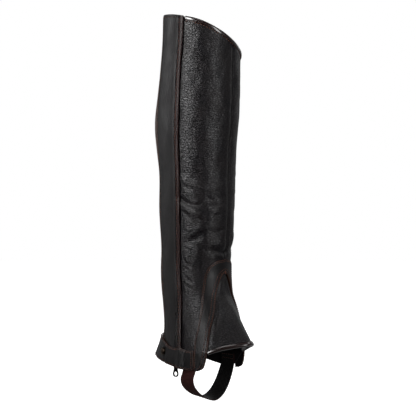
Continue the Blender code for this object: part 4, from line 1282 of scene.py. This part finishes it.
def guard_width(level):
    """Width of the zip guard at a level."""
    edge = guard_edge(level)
    return (edge - GUARD_BACK) / degrees_for(1.0, edge, level)


def lay_guard(share, along):
    """The zip guard, with finer cells towards its bead and a rounded top rear corner."""
    level = GUARD_HEM + (TOP_LEVEL - GUARD_HEM) * along
    width = guard_width(level[:, :1])
    from_edge = width * (1 - share) ** GUARD_EASE
    from_back = np.clip(CORNER_RADIUS - (width - from_edge), 0.0, CORNER_RADIUS)
    corner = CORNER_RADIUS - np.sqrt(CORNER_RADIUS**2 - from_back**2)
    near_top = ease((level - TOP_LEVEL + CORNER_FADE) / CORNER_FADE)
    angle, height, lift = guard_place(from_edge, level)
    return leather(angle, height + (GUARD_RISE - corner) * near_top, lift)


def overlay_place(inward, station):
    """Angle and height on the ankle overlay: 0 at the rim and 1 at the gore."""
    near = np.minimum(station, 2 * (len(OVERLAY) - 1) - station)
    gore_angle, gore_height, rim_angle, rim_height = (
        curve(range(len(OVERLAY)), [getattr(s, name) for s in OVERLAY], near)
        for name in Station._fields
    )
    angle = rim_angle + (gore_angle - rim_angle) * inward
    angle = np.where(station > len(OVERLAY) - 1, 180.0 - angle, angle)
    return angle, rim_height + (gore_height - rim_height) * inward


def pared(distance):
    """How far a smooth piece is pared down at a distance from its edge."""
    return PARED * np.exp(-((distance / PARED_SPREAD) ** 2))


def lay_overlay(share, along):
    """The overlay over the ankle, with a flap on each side of the gore."""
    station = 2 * (len(OVERLAY) - 1) * along
    rim = leather(*overlay_place(0 * station, station))
    wide = np.linalg.norm(leather(*overlay_place(0 * station + 1, station)) - rim, axis=-1)
    inward = bordered(share, OVERLAY_ACROSS, STAIN_WIDTH / wide)
    lift = LAYER_GAP + LEATHER - pared(np.minimum(inward, 1 - inward) * wide)
    return leather(*overlay_place(inward, station), lift)


def tab_depth(angle):
    """Depth of the ankle tab, from its upper edge to its hem."""
    return column(TAB, "angle", "top", angle) - hem_height(angle) + TAB_DROP


def tab_place(down, angle):
    """Height and lift on the ankle tab, by distance below its upper edge."""
    top, top_lift, hem_lift = (
        column(TAB, "angle", name, angle) for name in ("top", "top_lift", "hem_lift")
    )
    lift = top_lift + (hem_lift - top_lift) * down / tab_depth(angle) + LEATHER
    for fold in TAB_FOLDS:
        lift = lift - fold.depth * np.exp(-(((angle - fold.angle) / fold.spread) ** 2))
    return top - down, lift


def lay_tab(share, along):
    """The tab round the back of the ankle, full at its hem, where the pull tab swings."""
    long = (TAB[-1].angle - TAB[0].angle) / degrees_for(1.0, np.array(0.0), np.array(SNAP_HEIGHT))
    share = bordered(share, TAB_ACROSS, STAIN_WIDTH / long)
    angle = TAB[0].angle + (TAB[-1].angle - TAB[0].angle) * share
    depth = tab_depth(angle)
    down = (1 - bordered(along, TAB_ALONG, STAIN_WIDTH / depth)) * depth
    height, lift = tab_place(down, angle)
    edge = np.minimum(down, (1 - share) * long)
    return leather(angle, height, lift - pared(edge))


def lay_binding(angles, edge, depth, side):
    """A rule for a strip folded over an edge above (1) or below (-1) the piece.

    Its profile runs from the inside over the edge to the outside, by rise and lift.
    """
    low = -LEATHER - SEAM_GAP
    profile = (
        (-depth, low - BINDING), (-depth * 0.5, low - BINDING * 1.05),
        (BINDING * 0.5, low - BINDING * 0.7), (BINDING * 1.3, low * 0.5),
        (BINDING * 0.5, SEAM_GAP + BINDING * 0.75), (-depth * 0.5, SEAM_GAP + BINDING * 1.15),
        (-depth, SEAM_GAP + BINDING * 0.9),
    )

    def place(share, along):
        across = share if side > 0 else 1 - share
        turn = across * (len(profile) - 1)
        rise = curve(range(len(profile)), [p[0] for p in profile], turn)
        lift = curve(range(len(profile)), [p[1] for p in profile], turn)
        angle = angles[0] + (angles[1] - angles[0]) * along
        return leather(angle, edge(angle) + side * rise, lift)

    return place


def lay_tape(side, climb):
    """A rule for one zip tape, in front of the teeth (1) or behind them (-1)."""
    def place(share, along):
        level = TAPE_HEM + (ZIP_TOP - TAPE_HEM) * along
        centre = zip_centre(level)
        outward = share if side > 0 else 1 - share
        distance = CHAIN_HALF + (TAPE_HALF - CHAIN_HALF) * outward
        angle = centre + side * distance * degrees_for(1.0, centre, level)
        return leather(angle, fitted(level, angle), TAPE_FACE + climb * ease(outward))

    return place


def strap_path(share):
    """Middle, half width and outward direction along the strap."""
    count = len(STRAP_ROWS)
    across, height, drop, forward = (
        curve(range(count), [getattr(r, name) for r in STRAP_ROWS], share * (count - 1))
        for name in StrapRow._fields
    )
    middle = np.stack([across, -forward, height], -1)
    lean = np.stack([0 * drop, np.full_like(drop, -STRAP_WIDTH / 2), -drop / 2], -1)
    return middle, lean


def lay_strap(share, along):
    """The strap under the foot, with its brown face away from the foot."""
    middle, lean = strap_path(along)
    return middle + lean * (1 - 2 * share)[..., None]


class HALFCHAP_OT_grained_panels(bpy.types.Operator):
    """Cut the outer panel, the inner panel and the gore from pebbled leather"""

    bl_idname = "halfchap.grained_panels"
    bl_label = "Grained Panels"

    def execute(self, context):
        hides = context.scene.half_chap_leather
        sides = [finish(pebbled_drum_dyed_cowhide, hides), finish(buffed_flesh_side, hides)]
        outer = make_piece("outer_leather", cut_sheet(72, 280, lay_outer), sides,
                           stands_for=["outer_panel"])
        inner = make_piece("inner_leather", cut_sheet(110, 240, lay_inner), sides,
                           stands_for=["inner_panel"])
        gore = make_piece("gore_leather", cut_sheet(60, 72, lay_gore), sides,
                          stands_for=["front_gore"])
        for piece in (outer, inner, gore):
            thicken(piece, LEATHER, rim=1)
        return {"FINISHED"}


class HALFCHAP_OT_elastic(bpy.types.Operator):
    """Set in the ribbed stretch panel down the back"""

    bl_idname = "halfchap.elastic"
    bl_label = "Elastic"

    def execute(self, context):
        elastic = finish(ribbed_woven_elastic, context.scene.half_chap_stretch)
        piece = make_piece("elastic_cloth", cut_sheet(44, 200, lay_elastic), [elastic],
                           stands_for=["elastic_panel"])
        thicken(piece, ELASTIC, back=0, rim=0, edge=THIN_ROUND)
        return {"FINISHED"}


class HALFCHAP_OT_zip_guard(bpy.types.Operator):
    """Lay the smooth guard over the zip, with a turned bead along its free edge"""

    bl_idname = "halfchap.zip_guard"
    bl_label = "Zip Guard"

    def execute(self, context):
        hides = context.scene.half_chap_leather
        makers = (waxed_smooth_calf, buffed_flesh_side, satin_brown_binding)
        calf, flesh, bead = (finish(maker, hides) for maker in makers)
        shape = cut_sheet(GUARD_ACROSS, 230, lay_guard)
        stain(shape, GUARD_ACROSS, lambda x, y: x >= GUARD_ACROSS - BEAD_COLUMNS, 2)
        piece = make_piece("guard_leather", shape, [calf, flesh, bead, flesh, bead],
                           stands_for=["zip_guard"])
        thicken(piece, LEATHER - LAYER_GAP / 2, edge=GUARD_ROUND)
        return {"FINISHED"}


class HALFCHAP_OT_ankle_pieces(bpy.types.Operator):
    """Lay the overlay over the ankle and close the tab round its back"""

    bl_idname = "halfchap.ankle_pieces"
    bl_label = "Ankle Overlay and Tab"

    def execute(self, context):
        hides = context.scene.half_chap_leather
        makers = (waxed_smooth_calf, buffed_flesh_side, stained_cut_edge)
        calf, flesh, edge = (finish(maker, hides) for maker in makers)
        materials = [calf, flesh, edge, flesh, edge]
        shape = cut_sheet(OVERLAY_ACROSS, OVERLAY_ALONG, lay_overlay)
        stain(shape, OVERLAY_ACROSS, lambda x, y: x in (0, OVERLAY_ACROSS - 1), 2)
        overlay = make_piece("overlay_leather", shape, materials,
                             stands_for=["ankle_overlay"])
        shape = cut_sheet(TAB_ACROSS, TAB_ALONG, lay_tab)
        stain(shape, TAB_ACROSS, lambda x, y: x == TAB_ACROSS - 1 or y in (0, TAB_ALONG - 1), 2)
        tab = make_piece("tab_leather", shape, materials,
                         stands_for=["ankle_tab"])
        thicken(overlay, LEATHER, edge=SMOOTH_ROUND)
        thicken(tab, LEATHER, edge=SMOOTH_ROUND)
        return {"FINISHED"}


class HALFCHAP_OT_bindings(bpy.types.Operator):
    """Fold the glazed bindings over the top edge and the gore's hem"""

    bl_idname = "halfchap.bindings"
    bl_label = "Bindings"

    def execute(self, context):
        glaze = finish(glazed_brown_binding, context.scene.half_chap_leather)
        low = float(front_edge(np.array(HEM_LEVEL), 1))
        top = lay_binding(TOP_BINDING_ENDS, lambda a: edge_height(TOP_EDGE, a),
                          TOP_BINDING_DEPTH, 1)
        ends = (low + GORE_BINDING_SHORT, 180.0 - GORE_BINDING_SHORT - low)
        hem = lay_binding(ends, hem_height, GORE_BINDING_DEPTH, -1)
        for name, along, place, solid in (
            ("top_edge_binding", 150, top, "top_binding"),
            ("gore_edge_binding", 90, hem, "gore_binding"),
        ):
            piece = make_piece(name, cut_sheet(18, along, place), [glaze],
                               stands_for=[solid])
            thicken(piece, BINDING * THIN_SHARE, back=0, rim=0, edge=THIN_ROUND)
        return {"FINISHED"}


class HALFCHAP_OT_zip(bpy.types.Operator):
    """Weave the zip's tapes and mould its teeth along them"""

    bl_idname = "halfchap.zip"
    bl_label = "Zip"

    def execute(self, context):
        tape = finish(black_polyester_twill_tape)
        climb = LAYER_GAP - SEAM_GAP - TAPE_FACE
        for name, side, rise, solid in (
            ("front_tape", 1, 0.0, "zip_tape_front"), ("rear_tape", -1, climb, "zip_tape_rear"),
        ):
            piece = make_piece(name, cut_sheet(6, 150, lay_tape(side, rise)), [tape],
                               stands_for=[solid])
            thicken(piece, ZIP_TAPE * THIN_SHARE, back=0, rim=0, edge=THIN_ROUND)

        pitch = context.scene.half_chap_fittings.tooth_pitch
        shape = bmesh.new()
        count = int((ZIP_TOP - TAPE_HEM) / pitch)
        for k in range(2 * count):
            height = TAPE_HEM + (k + 0.5) * pitch / 2
            side = 1 if k % 2 else -1
            place = surface_frame(float(zip_centre(height)), height,
                                  TAPE_FACE - ZIP_TAPE * TOOTH_SINK)
            tooth = place @ Matrix.Translation((side * CHAIN_HALF / 2, 0.0, 0.0))
            block(shape, (CHAIN_HALF * TOOTH_LENGTH, pitch * TOOTH_WIDTH, TOOTH_DEPTH), tooth)
        make_piece("zip_teeth", shape, [finish(black_moulded_acetal)], sharp=30)
        return {"FINISHED"}


class HALFCHAP_OT_slider(bpy.types.Operator):
    """Cast the slider and hang its pull tab under the bridge"""

    bl_idname = "halfchap.slider"
    bl_label = "Slider and Pull Tab"

    def execute(self, context):
        metal = finish(gunmetal_plated_zinc, context.scene.half_chap_fittings)
        plate_gap = ZIP_TAPE + 2 * TAPE_PLAY
        place = surface_frame(float(zip_centre(SLIDER_HEIGHT)), SLIDER_HEIGHT,
                              TAPE_FACE - ZIP_TAPE / 2)
        reach = (plate_gap + PLATE) / 2
        foot = plate_gap / 2 + PLATE
        top = foot + PULL_PLAY + PULL_BAR + PULL_PLAY
        leg = top + BRIDGE_WALL - foot + PLATE / 2
        leg_middle = foot - PLATE / 2 + leg / 2
        leg_y = (BRIDGE_LENGTH - BRIDGE_WALL) / 2
        shape = bmesh.new()
        for centre, size in (
            ((0, 0, -reach), (SLIDER_WIDTH, SLIDER_LENGTH, PLATE)),
            ((0, 0, reach), (SLIDER_WIDTH, SLIDER_LENGTH, PLATE)),
            ((0, 0, 0), (POST_WIDTH, POST_LENGTH, plate_gap + PLATE)),
            ((0, leg_y, leg_middle), (BRIDGE_WIDTH, BRIDGE_WALL, leg)),
            ((0, -leg_y, leg_middle), (BRIDGE_WIDTH, BRIDGE_WALL, leg)),
            ((0, 0, top + BRIDGE_WALL / 2), (BRIDGE_WIDTH, BRIDGE_LENGTH, BRIDGE_WALL)),
        ):
            block(shape, size, place @ Matrix.Translation(centre), soft=CAST_SOFT)
        make_piece("slider_casting", shape, [metal], stands_for=["zip_slider"],
                   sharp=35)

        bar = PULL_BAR / 2
        hang = BRIDGE_LENGTH / 2 - BRIDGE_WALL - PULL_PLAY - bar
        pivot = place @ Matrix.Translation((0.0, -hang, foot + PULL_PLAY + bar))
        make_piece("pull_casting", pull_shape(pivot), [metal], body="pull_tab",
                   stands_for=["zip_pull"], sharp=40)
        return {"FINISHED"}


def pull_shape(pivot):
    """The pull tab's outline less its slot and eye, filled, given a thickness and placed."""
    slot = BRIDGE_WIDTH / 2 + PULL_PLAY
    bar = PULL_BAR / 2
    side = [(p.half_width, -p.drop) for p in PULL_ROWS]
    outline = side + [(-x, y) for x, y in reversed(side)]
    opening = [(-slot, -bar), (slot, -bar), (slot, -PULL_SLOT), (-slot, -PULL_SLOT)]
    turns = [2 * math.pi * k / PULL_EYE_SIDES for k in range(PULL_EYE_SIDES)]
    eye = [(PULL_EYE.half_width * math.cos(t), PULL_EYE.half_height * math.sin(t) - PULL_EYE.drop)
           for t in turns]
    drawing = bpy.data.curves.new("pull_outline", "CURVE")
    drawing.dimensions = "2D"
    drawing.fill_mode = "BOTH"
    drawing.extrude = PULL_BAR / 2 - PULL_SOFT
    drawing.bevel_depth = PULL_SOFT
    drawing.bevel_resolution = 1
    drawing.offset = -PULL_SOFT
    for points in (outline, opening, eye):
        spline = drawing.splines.new("POLY")
        spline.points.add(len(points) - 1)
        spline.use_cyclic_u = True
        for target, (x, y) in zip(spline.points, points):
            target.co = (x, y, 0.0, 1.0)
    holder = bpy.data.objects.new("pull_outline", drawing)
    bpy.context.scene.collection.objects.link(holder)
    bpy.context.view_layer.update()
    mesh = bpy.data.meshes.new_from_object(holder)
    bpy.data.objects.remove(holder, do_unlink=True)
    shape = bmesh.new()
    shape.from_mesh(mesh)
    bmesh.ops.remove_doubles(shape, verts=shape.verts, dist=MERGE_DISTANCE)
    bmesh.ops.recalc_face_normals(shape, faces=shape.faces)
    bmesh.ops.transform(shape, matrix=pivot, verts=shape.verts)
    return shape


class HALFCHAP_OT_snap(bpy.types.Operator):
    """Spin the domed snap and set it on the ankle tab"""

    bl_idname = "halfchap.snap"
    bl_label = "Snap"

    def execute(self, context):
        lift = float(column(TAB, "angle", "hem_lift", SNAP_ANGLE)) + LEATHER
        place = surface_frame(SNAP_ANGLE, SNAP_HEIGHT, lift + SNAP_GAP)
        shape = bmesh.new()
        verts = [shape.verts.new((SNAP_RADIUS * x, 0.0, SNAP_RISE * z)) for x, z in SNAP_OUTLINE]
        for first, second in zip(verts, verts[1:]):
            shape.edges.new((first, second))
        bmesh.ops.spin(shape, geom=shape.verts[:] + shape.edges[:], cent=(0, 0, 0),
                       axis=(0, 0, 1), angle=2 * math.pi, steps=SNAP_STEPS, use_merge=True)
        bmesh.ops.remove_doubles(shape, verts=shape.verts, dist=MERGE_DISTANCE)
        bmesh.ops.recalc_face_normals(shape, faces=shape.faces)
        bmesh.ops.transform(shape, matrix=place, verts=shape.verts)
        brass = finish(antique_plated_brass, context.scene.half_chap_fittings)
        make_piece("snap_dome", shape, [brass], stands_for=["snap_cap"], sharp=50)
        return {"FINISHED"}


class HALFCHAP_OT_strap(bpy.types.Operator):
    """Hang the elastic strap under the foot"""

    bl_idname = "halfchap.strap"
    bl_label = "Foot Strap"

    def execute(self, context):
        stretch = context.scene.half_chap_stretch
        makers = (brown_ribbed_strap_face, black_lattice_strap_back)
        faces = [finish(maker, stretch) for maker in makers]
        piece = make_piece("strap_webbing", cut_sheet(16, 140, lay_strap), faces,
                           stands_for=["foot_strap"])
        thicken(piece, STRAP, offset=0.0, back=1, rim=0, edge=STRAP_ROUND)
        return {"FINISHED"}


def sew(shape, points, outward, sizes, heavy=1.0):
    """Lay stitches along a line: each a small rounded bar, half sunk into the leather."""
    pitch, half_length, radius = sizes.pitch * heavy, sizes.length * heavy / 2, sizes.radius * heavy
    steps = np.linalg.norm(np.diff(points, axis=0), axis=-1)
    run = np.concatenate([[0.0], np.cumsum(steps)])
    count = max(1, round(run[-1] / pitch))
    for k in range(count):
        at = (k + 0.5) * run[-1] / count
        middle = Vector([np.interp(at, run, points[:, i]) for i in range(3)])
        ahead = Vector([np.interp(at + half_length, run, points[:, i]) for i in range(3)])
        up = Vector([np.interp(at, run, outward[:, i]) for i in range(3)]).normalized()
        along = (ahead - middle).normalized()
        across = up.cross(along).normalized()
        along = (along + across * SLANT).normalized()
        across = up.cross(along).normalized()
        axes = Matrix((along * half_length, across * radius, up * radius)).transposed()
        place = Matrix.Translation(middle) @ axes.to_4x4()
        bmesh.ops.create_uvsphere(shape, u_segments=6, v_segments=4, radius=1.0,
                                  matrix=place @ Matrix.Rotation(math.pi / 2, 4, "Y"))


def seam(shape, angle, height, lift, sizes, heavy=1.0):
    """Sew along angles and heights on the leather, at a lift."""
    proud = lift + sizes.radius * heavy * PROUD
    points = leather(angle, height, proud)
    outward = leather(angle, height, proud + STEP_UP) - points
    sew(shape, points, outward / STEP_UP, sizes, heavy)


class HALFCHAP_OT_sewing(bpy.types.Operator):
    """Sew every seam and edge with brown thread"""

    bl_idname = "halfchap.sewing"
    bl_label = "Sewing"

    def execute(self, context):
        sizes = context.scene.half_chap_sewing
        thread = finish(brown_bonded_nylon_thread, sizes)
        for name, rule in (
            ("guard_sewing", sew_guard), ("panel_sewing", sew_panels),
            ("overlay_sewing", sew_overlay), ("tab_sewing", sew_tab),
            ("apex_tack", sew_apex), ("strap_sewing", sew_strap),
        ):
            shape = bmesh.new()
            rule(shape, sizes)
            make_piece(name, shape, [thread])
        return {"FINISHED"}


def sew_guard(shape, sizes):
    """The heavy row beside the guard's bead, and its border row up the back and over the top."""
    share = np.linspace(0.0, 1.0, 500)
    share = GUARD_ROW_SHORT + (1 - 2 * GUARD_ROW_SHORT) * share
    level = GUARD_HEM + (TOP_LEVEL - GUARD_HEM) * share
    angle, height, lift = guard_place(GUARD_STITCH + retreat(level), level)
    seam(shape, angle, height, lift, sizes, HEAVY)

    turn = np.linspace(0.0, math.pi / 2, 30)
    centre = GUARD_BORDER + CORNER_RADIUS / 2
    reach = float(guard_width(np.array(TOP_LEVEL))) - GUARD_STITCH - STITCH_RETREAT - GUARD_BORDER
    from_back = np.concatenate([
        np.full(300, GUARD_BORDER), centre - CORNER_RADIUS / 2 * np.cos(turn),
        np.linspace(centre, reach, 100),
    ])
    level = np.concatenate([
        np.linspace(GUARD_HEM + GUARD_BORDER, TOP_LEVEL - centre, 300),
        TOP_LEVEL - centre + CORNER_RADIUS / 2 * np.sin(turn),
        np.full(100, TOP_LEVEL - GUARD_BORDER),
    ])
    angle, height, lift = guard_place(guard_width(level) - from_back, level)
    seam(shape, angle, height, lift, sizes)


def sew_panels(shape, sizes):
    """The rows under the top binding, in the shin's groove and beside the elastic."""
    share = np.linspace(0.0, 1.0, 500)
    angle = TOP_BINDING_ENDS[0] + (TOP_BINDING_ENDS[1] - TOP_BINDING_ENDS[0]) * share
    height = edge_height(TOP_EDGE, angle) - TOP_BINDING_DEPTH - TOP_STITCH
    seam(shape, angle, height, -crease_depth(angle, height), sizes, HEAVY)

    low, high = APEX_LEVEL + SHIN_SHORT[0], TOP_LEVEL - SHIN_SHORT[1]
    level = low + (high - low) * share
    measured = FRONT_SEAM + SHIN_MEASURED + 0 * level
    angle = FRONT_SEAM + degrees_for(SHIN_STITCH, measured, level)
    height = fitted(level, angle)
    seam(shape, angle, height, inner_lift(angle, height, level), sizes)

    level = BACK_ROW_FOOT + (TOP_LEVEL - BACK_ROW_SHORT - BACK_ROW_FOOT) * share
    angle = BACK_SEAM - degrees_for(BACK_STITCH, BACK_SEAM + 0 * level, level)
    height = fitted(level, angle)
    seam(shape, angle, height, inner_lift(angle, height, level), sizes)


def sew_overlay(shape, sizes):
    """One row inside the overlay's rim and two beside the gore."""
    station = np.linspace(OVERLAY_SHORT, 2 * (len(OVERLAY) - 1) - OVERLAY_SHORT, 500)
    rim = np.stack(overlay_place(0 * station, station), -1)
    gore = np.stack(overlay_place(0 * station + 1, station), -1)
    wide = np.linalg.norm(leather(*rim.T) - leather(*gore.T), axis=-1)
    for inward in [RIM_STITCH / wide] + [1 - row / wide for row in GORE_STITCHES]:
        kept = (inward > ROW_CLEAR) & (inward < 1 - ROW_CLEAR)
        angle, height = overlay_place(inward[kept], station[kept])
        seam(shape, angle, height, LAYER_GAP + LEATHER, sizes)


def sew_tab(shape, sizes):
    """The row round the tab's upper edge, front end and hem."""
    share = np.linspace(0.0, 1.0, 300)
    first, last = TAB[0].angle + TAB_SHORT[0], TAB[-1].angle - TAB_SHORT[1]
    angle = first + (last - first) * share
    for down in (TAB_BORDER + 0 * angle, tab_depth(angle) - TAB_BORDER):
        seam(shape, angle, *tab_place(down, angle), sizes)
    angle = np.full_like(share, last)
    down = TAB_BORDER + (tab_depth(angle) - 2 * TAB_BORDER) * share
    seam(shape, angle, *tab_place(down, angle), sizes)


def sew_apex(shape, sizes):
    """The thick tack at the tip of the gore."""
    angle = np.linspace(*TACK_ENDS, 20)
    for row in range(TACK_ROWS):
        height = np.full_like(angle, APEX_LEVEL - TACK_DROP + row * TACK_STEP)
        seam(shape, angle, height, LAYER_GAP + LEATHER, sizes, HEAVY)


def sew_strap(shape, sizes):
    """Two rows across each end of the strap, on the side of the foot."""
    share = np.linspace(-STRAP_SEWN_WIDTH, STRAP_SEWN_WIDTH, 40)[:, None]
    for place in STRAP_SEWN:
        middle, lean = strap_path(np.full(len(share), place))
        tangent = strap_path(np.full(len(share), place + STRAP_STEP))[0] - middle
        inward = np.cross(lean, tangent)
        inward /= np.linalg.norm(inward, axis=-1, keepdims=True)
        sew(shape, middle + lean * share + inward * STRAP / 2, inward, sizes)


class HALFCHAP_OT_studio(bpy.types.Operator):
    """Set up the white studio: paper floor, softboxes, cove and camera"""

    bl_idname = "halfchap.studio"
    bl_label = "Studio"

    def execute(self, context):
        scene = context.scene
        studio = scene.half_chap_studio
        scene.view_settings.view_transform = "Standard"
        aim = TO_RIGHT * AIM_RIGHT + Vector((0.0, 0.0, AIM_HEIGHT))

        lens = bpy.data.cameras.new("photo_view")
        lens.lens = studio.lens
        lens.clip_end = VIEW_END
        camera = bpy.data.objects.new("photo_view", lens)
        camera.location = aim + TO_CAMERA * studio.distance
        camera.rotation_euler = (-TO_CAMERA).to_track_quat("-Z", "Y").to_euler()
        scene.collection.objects.link(camera)
        scene.camera = camera

        shape = bmesh.new()
        below = Matrix.Translation((0.0, 0.0, CAD_BOX[0][2] - FLOOR_DROP))
        bmesh.ops.create_circle(shape, cap_ends=True, segments=96, radius=FLOOR_RADIUS,
                                matrix=below)
        mesh = bpy.data.meshes.new("paper_floor")
        shape.to_mesh(mesh)
        shape.free()
        mesh.materials.append(finish(white_background_paper))
        floor = bpy.data.objects.new("paper_floor", mesh)
        floor.visible_diffuse = False
        floor.visible_glossy = False
        scene.collection.objects.link(floor)

        for box in SOFTBOXES:
            lamp = bpy.data.lights.new(box.name + "_softbox", "AREA")
            lamp.shape = "RECTANGLE"
            lamp.size, lamp.size_y = box.width, box.height
            lamp.energy = getattr(studio, box.name)
            turn, rise = math.radians(box.turn), math.radians(box.rise)
            level = TO_CAMERA * math.cos(turn) + TO_RIGHT * math.sin(turn)
            towards = level * math.cos(rise) + Vector((0.0, 0.0, math.sin(rise)))
            light = bpy.data.objects.new(lamp.name, lamp)
            light.location = aim + towards * LIGHT_DISTANCE
            lamp.spread = math.radians(box.beam)
            beam = Vector((0.0, 0.0, box.above)) - towards * LIGHT_DISTANCE
            light.rotation_euler = beam.to_track_quat("-Z", "Y").to_euler()
            scene.collection.objects.link(light)

        world = bpy.data.worlds.new("white_cove")
        world.use_nodes = True
        tree = world.node_tree
        ray = node(tree, "TexCoord").outputs["Generated"]
        facing = node(tree, "VectorMath", {0: ray, 1: tuple(TO_CAMERA)}, operation="DOT_PRODUCT")
        glow = node(tree, "MapRange", {"Value": facing.outputs["Value"], "From Min": -0.5,
                                       "From Max": 0.5, "To Min": studio.cove_behind,
                                       "To Max": studio.cove_before},
                    interpolation_type="SMOOTHSTEP").outputs["Result"]
        seen = node(tree, "LightPath").outputs["Is Camera Ray"]
        strength = node(tree, "Mix", {0: seen, 2: glow, 3: 1.0}).outputs[0]
        fill(tree.nodes["Background"], {"Color": (1.0, 1.0, 1.0, 1.0), "Strength": strength})
        scene.world = world
        return {"FINISHED"}


class HALFCHAP_PT_sidebar(bpy.types.Panel):
    """Half chap pieces and settings"""

    bl_idname = "HALFCHAP_PT_sidebar"
    bl_label = "Half Chap"
    bl_space_type = "VIEW_3D"
    bl_region_type = "UI"
    bl_category = "Half Chap"

    def draw(self, context):
        for operator in OPERATORS:
            self.layout.operator(operator.bl_idname)
        for name, group in SETTINGS.items():
            box = self.layout.box()
            box.label(text=group.__doc__)
            for key in group.__annotations__:
                box.prop(getattr(context.scene, name), key)


SETTINGS = {
    "half_chap_leather": LeatherSettings,
    "half_chap_sewing": SewingSettings,
    "half_chap_stretch": StretchSettings,
    "half_chap_fittings": FittingSettings,
    "half_chap_studio": StudioSettings,
}
OPERATORS = (
    HALFCHAP_OT_grained_panels,
    HALFCHAP_OT_elastic,
    HALFCHAP_OT_zip_guard,
    HALFCHAP_OT_ankle_pieces,
    HALFCHAP_OT_bindings,
    HALFCHAP_OT_zip,
    HALFCHAP_OT_slider,
    HALFCHAP_OT_snap,
    HALFCHAP_OT_strap,
    HALFCHAP_OT_sewing,
    HALFCHAP_OT_studio,
)


def register():
    """Register the settings, the operators and the panel."""
    for name, group in SETTINGS.items():
        bpy.utils.register_class(group)
        setattr(bpy.types.Scene, name, bpy.props.PointerProperty(type=group))
    for operator in OPERATORS:
        bpy.utils.register_class(operator)
    bpy.utils.register_class(HALFCHAP_PT_sidebar)


def unregister():
    """Take them all out again."""
    bpy.utils.unregister_class(HALFCHAP_PT_sidebar)
    for operator in reversed(OPERATORS):
        bpy.utils.unregister_class(operator)
    for name, group in SETTINGS.items():
        delattr(bpy.types.Scene, name)
        bpy.utils.unregister_class(group)


def main():
    """Make every piece in order."""
    register()
    for operator in OPERATORS:
        group, name = operator.bl_idname.split(".")
        getattr(getattr(bpy.ops, group), name)()


if __name__ == "__main__":
    main()
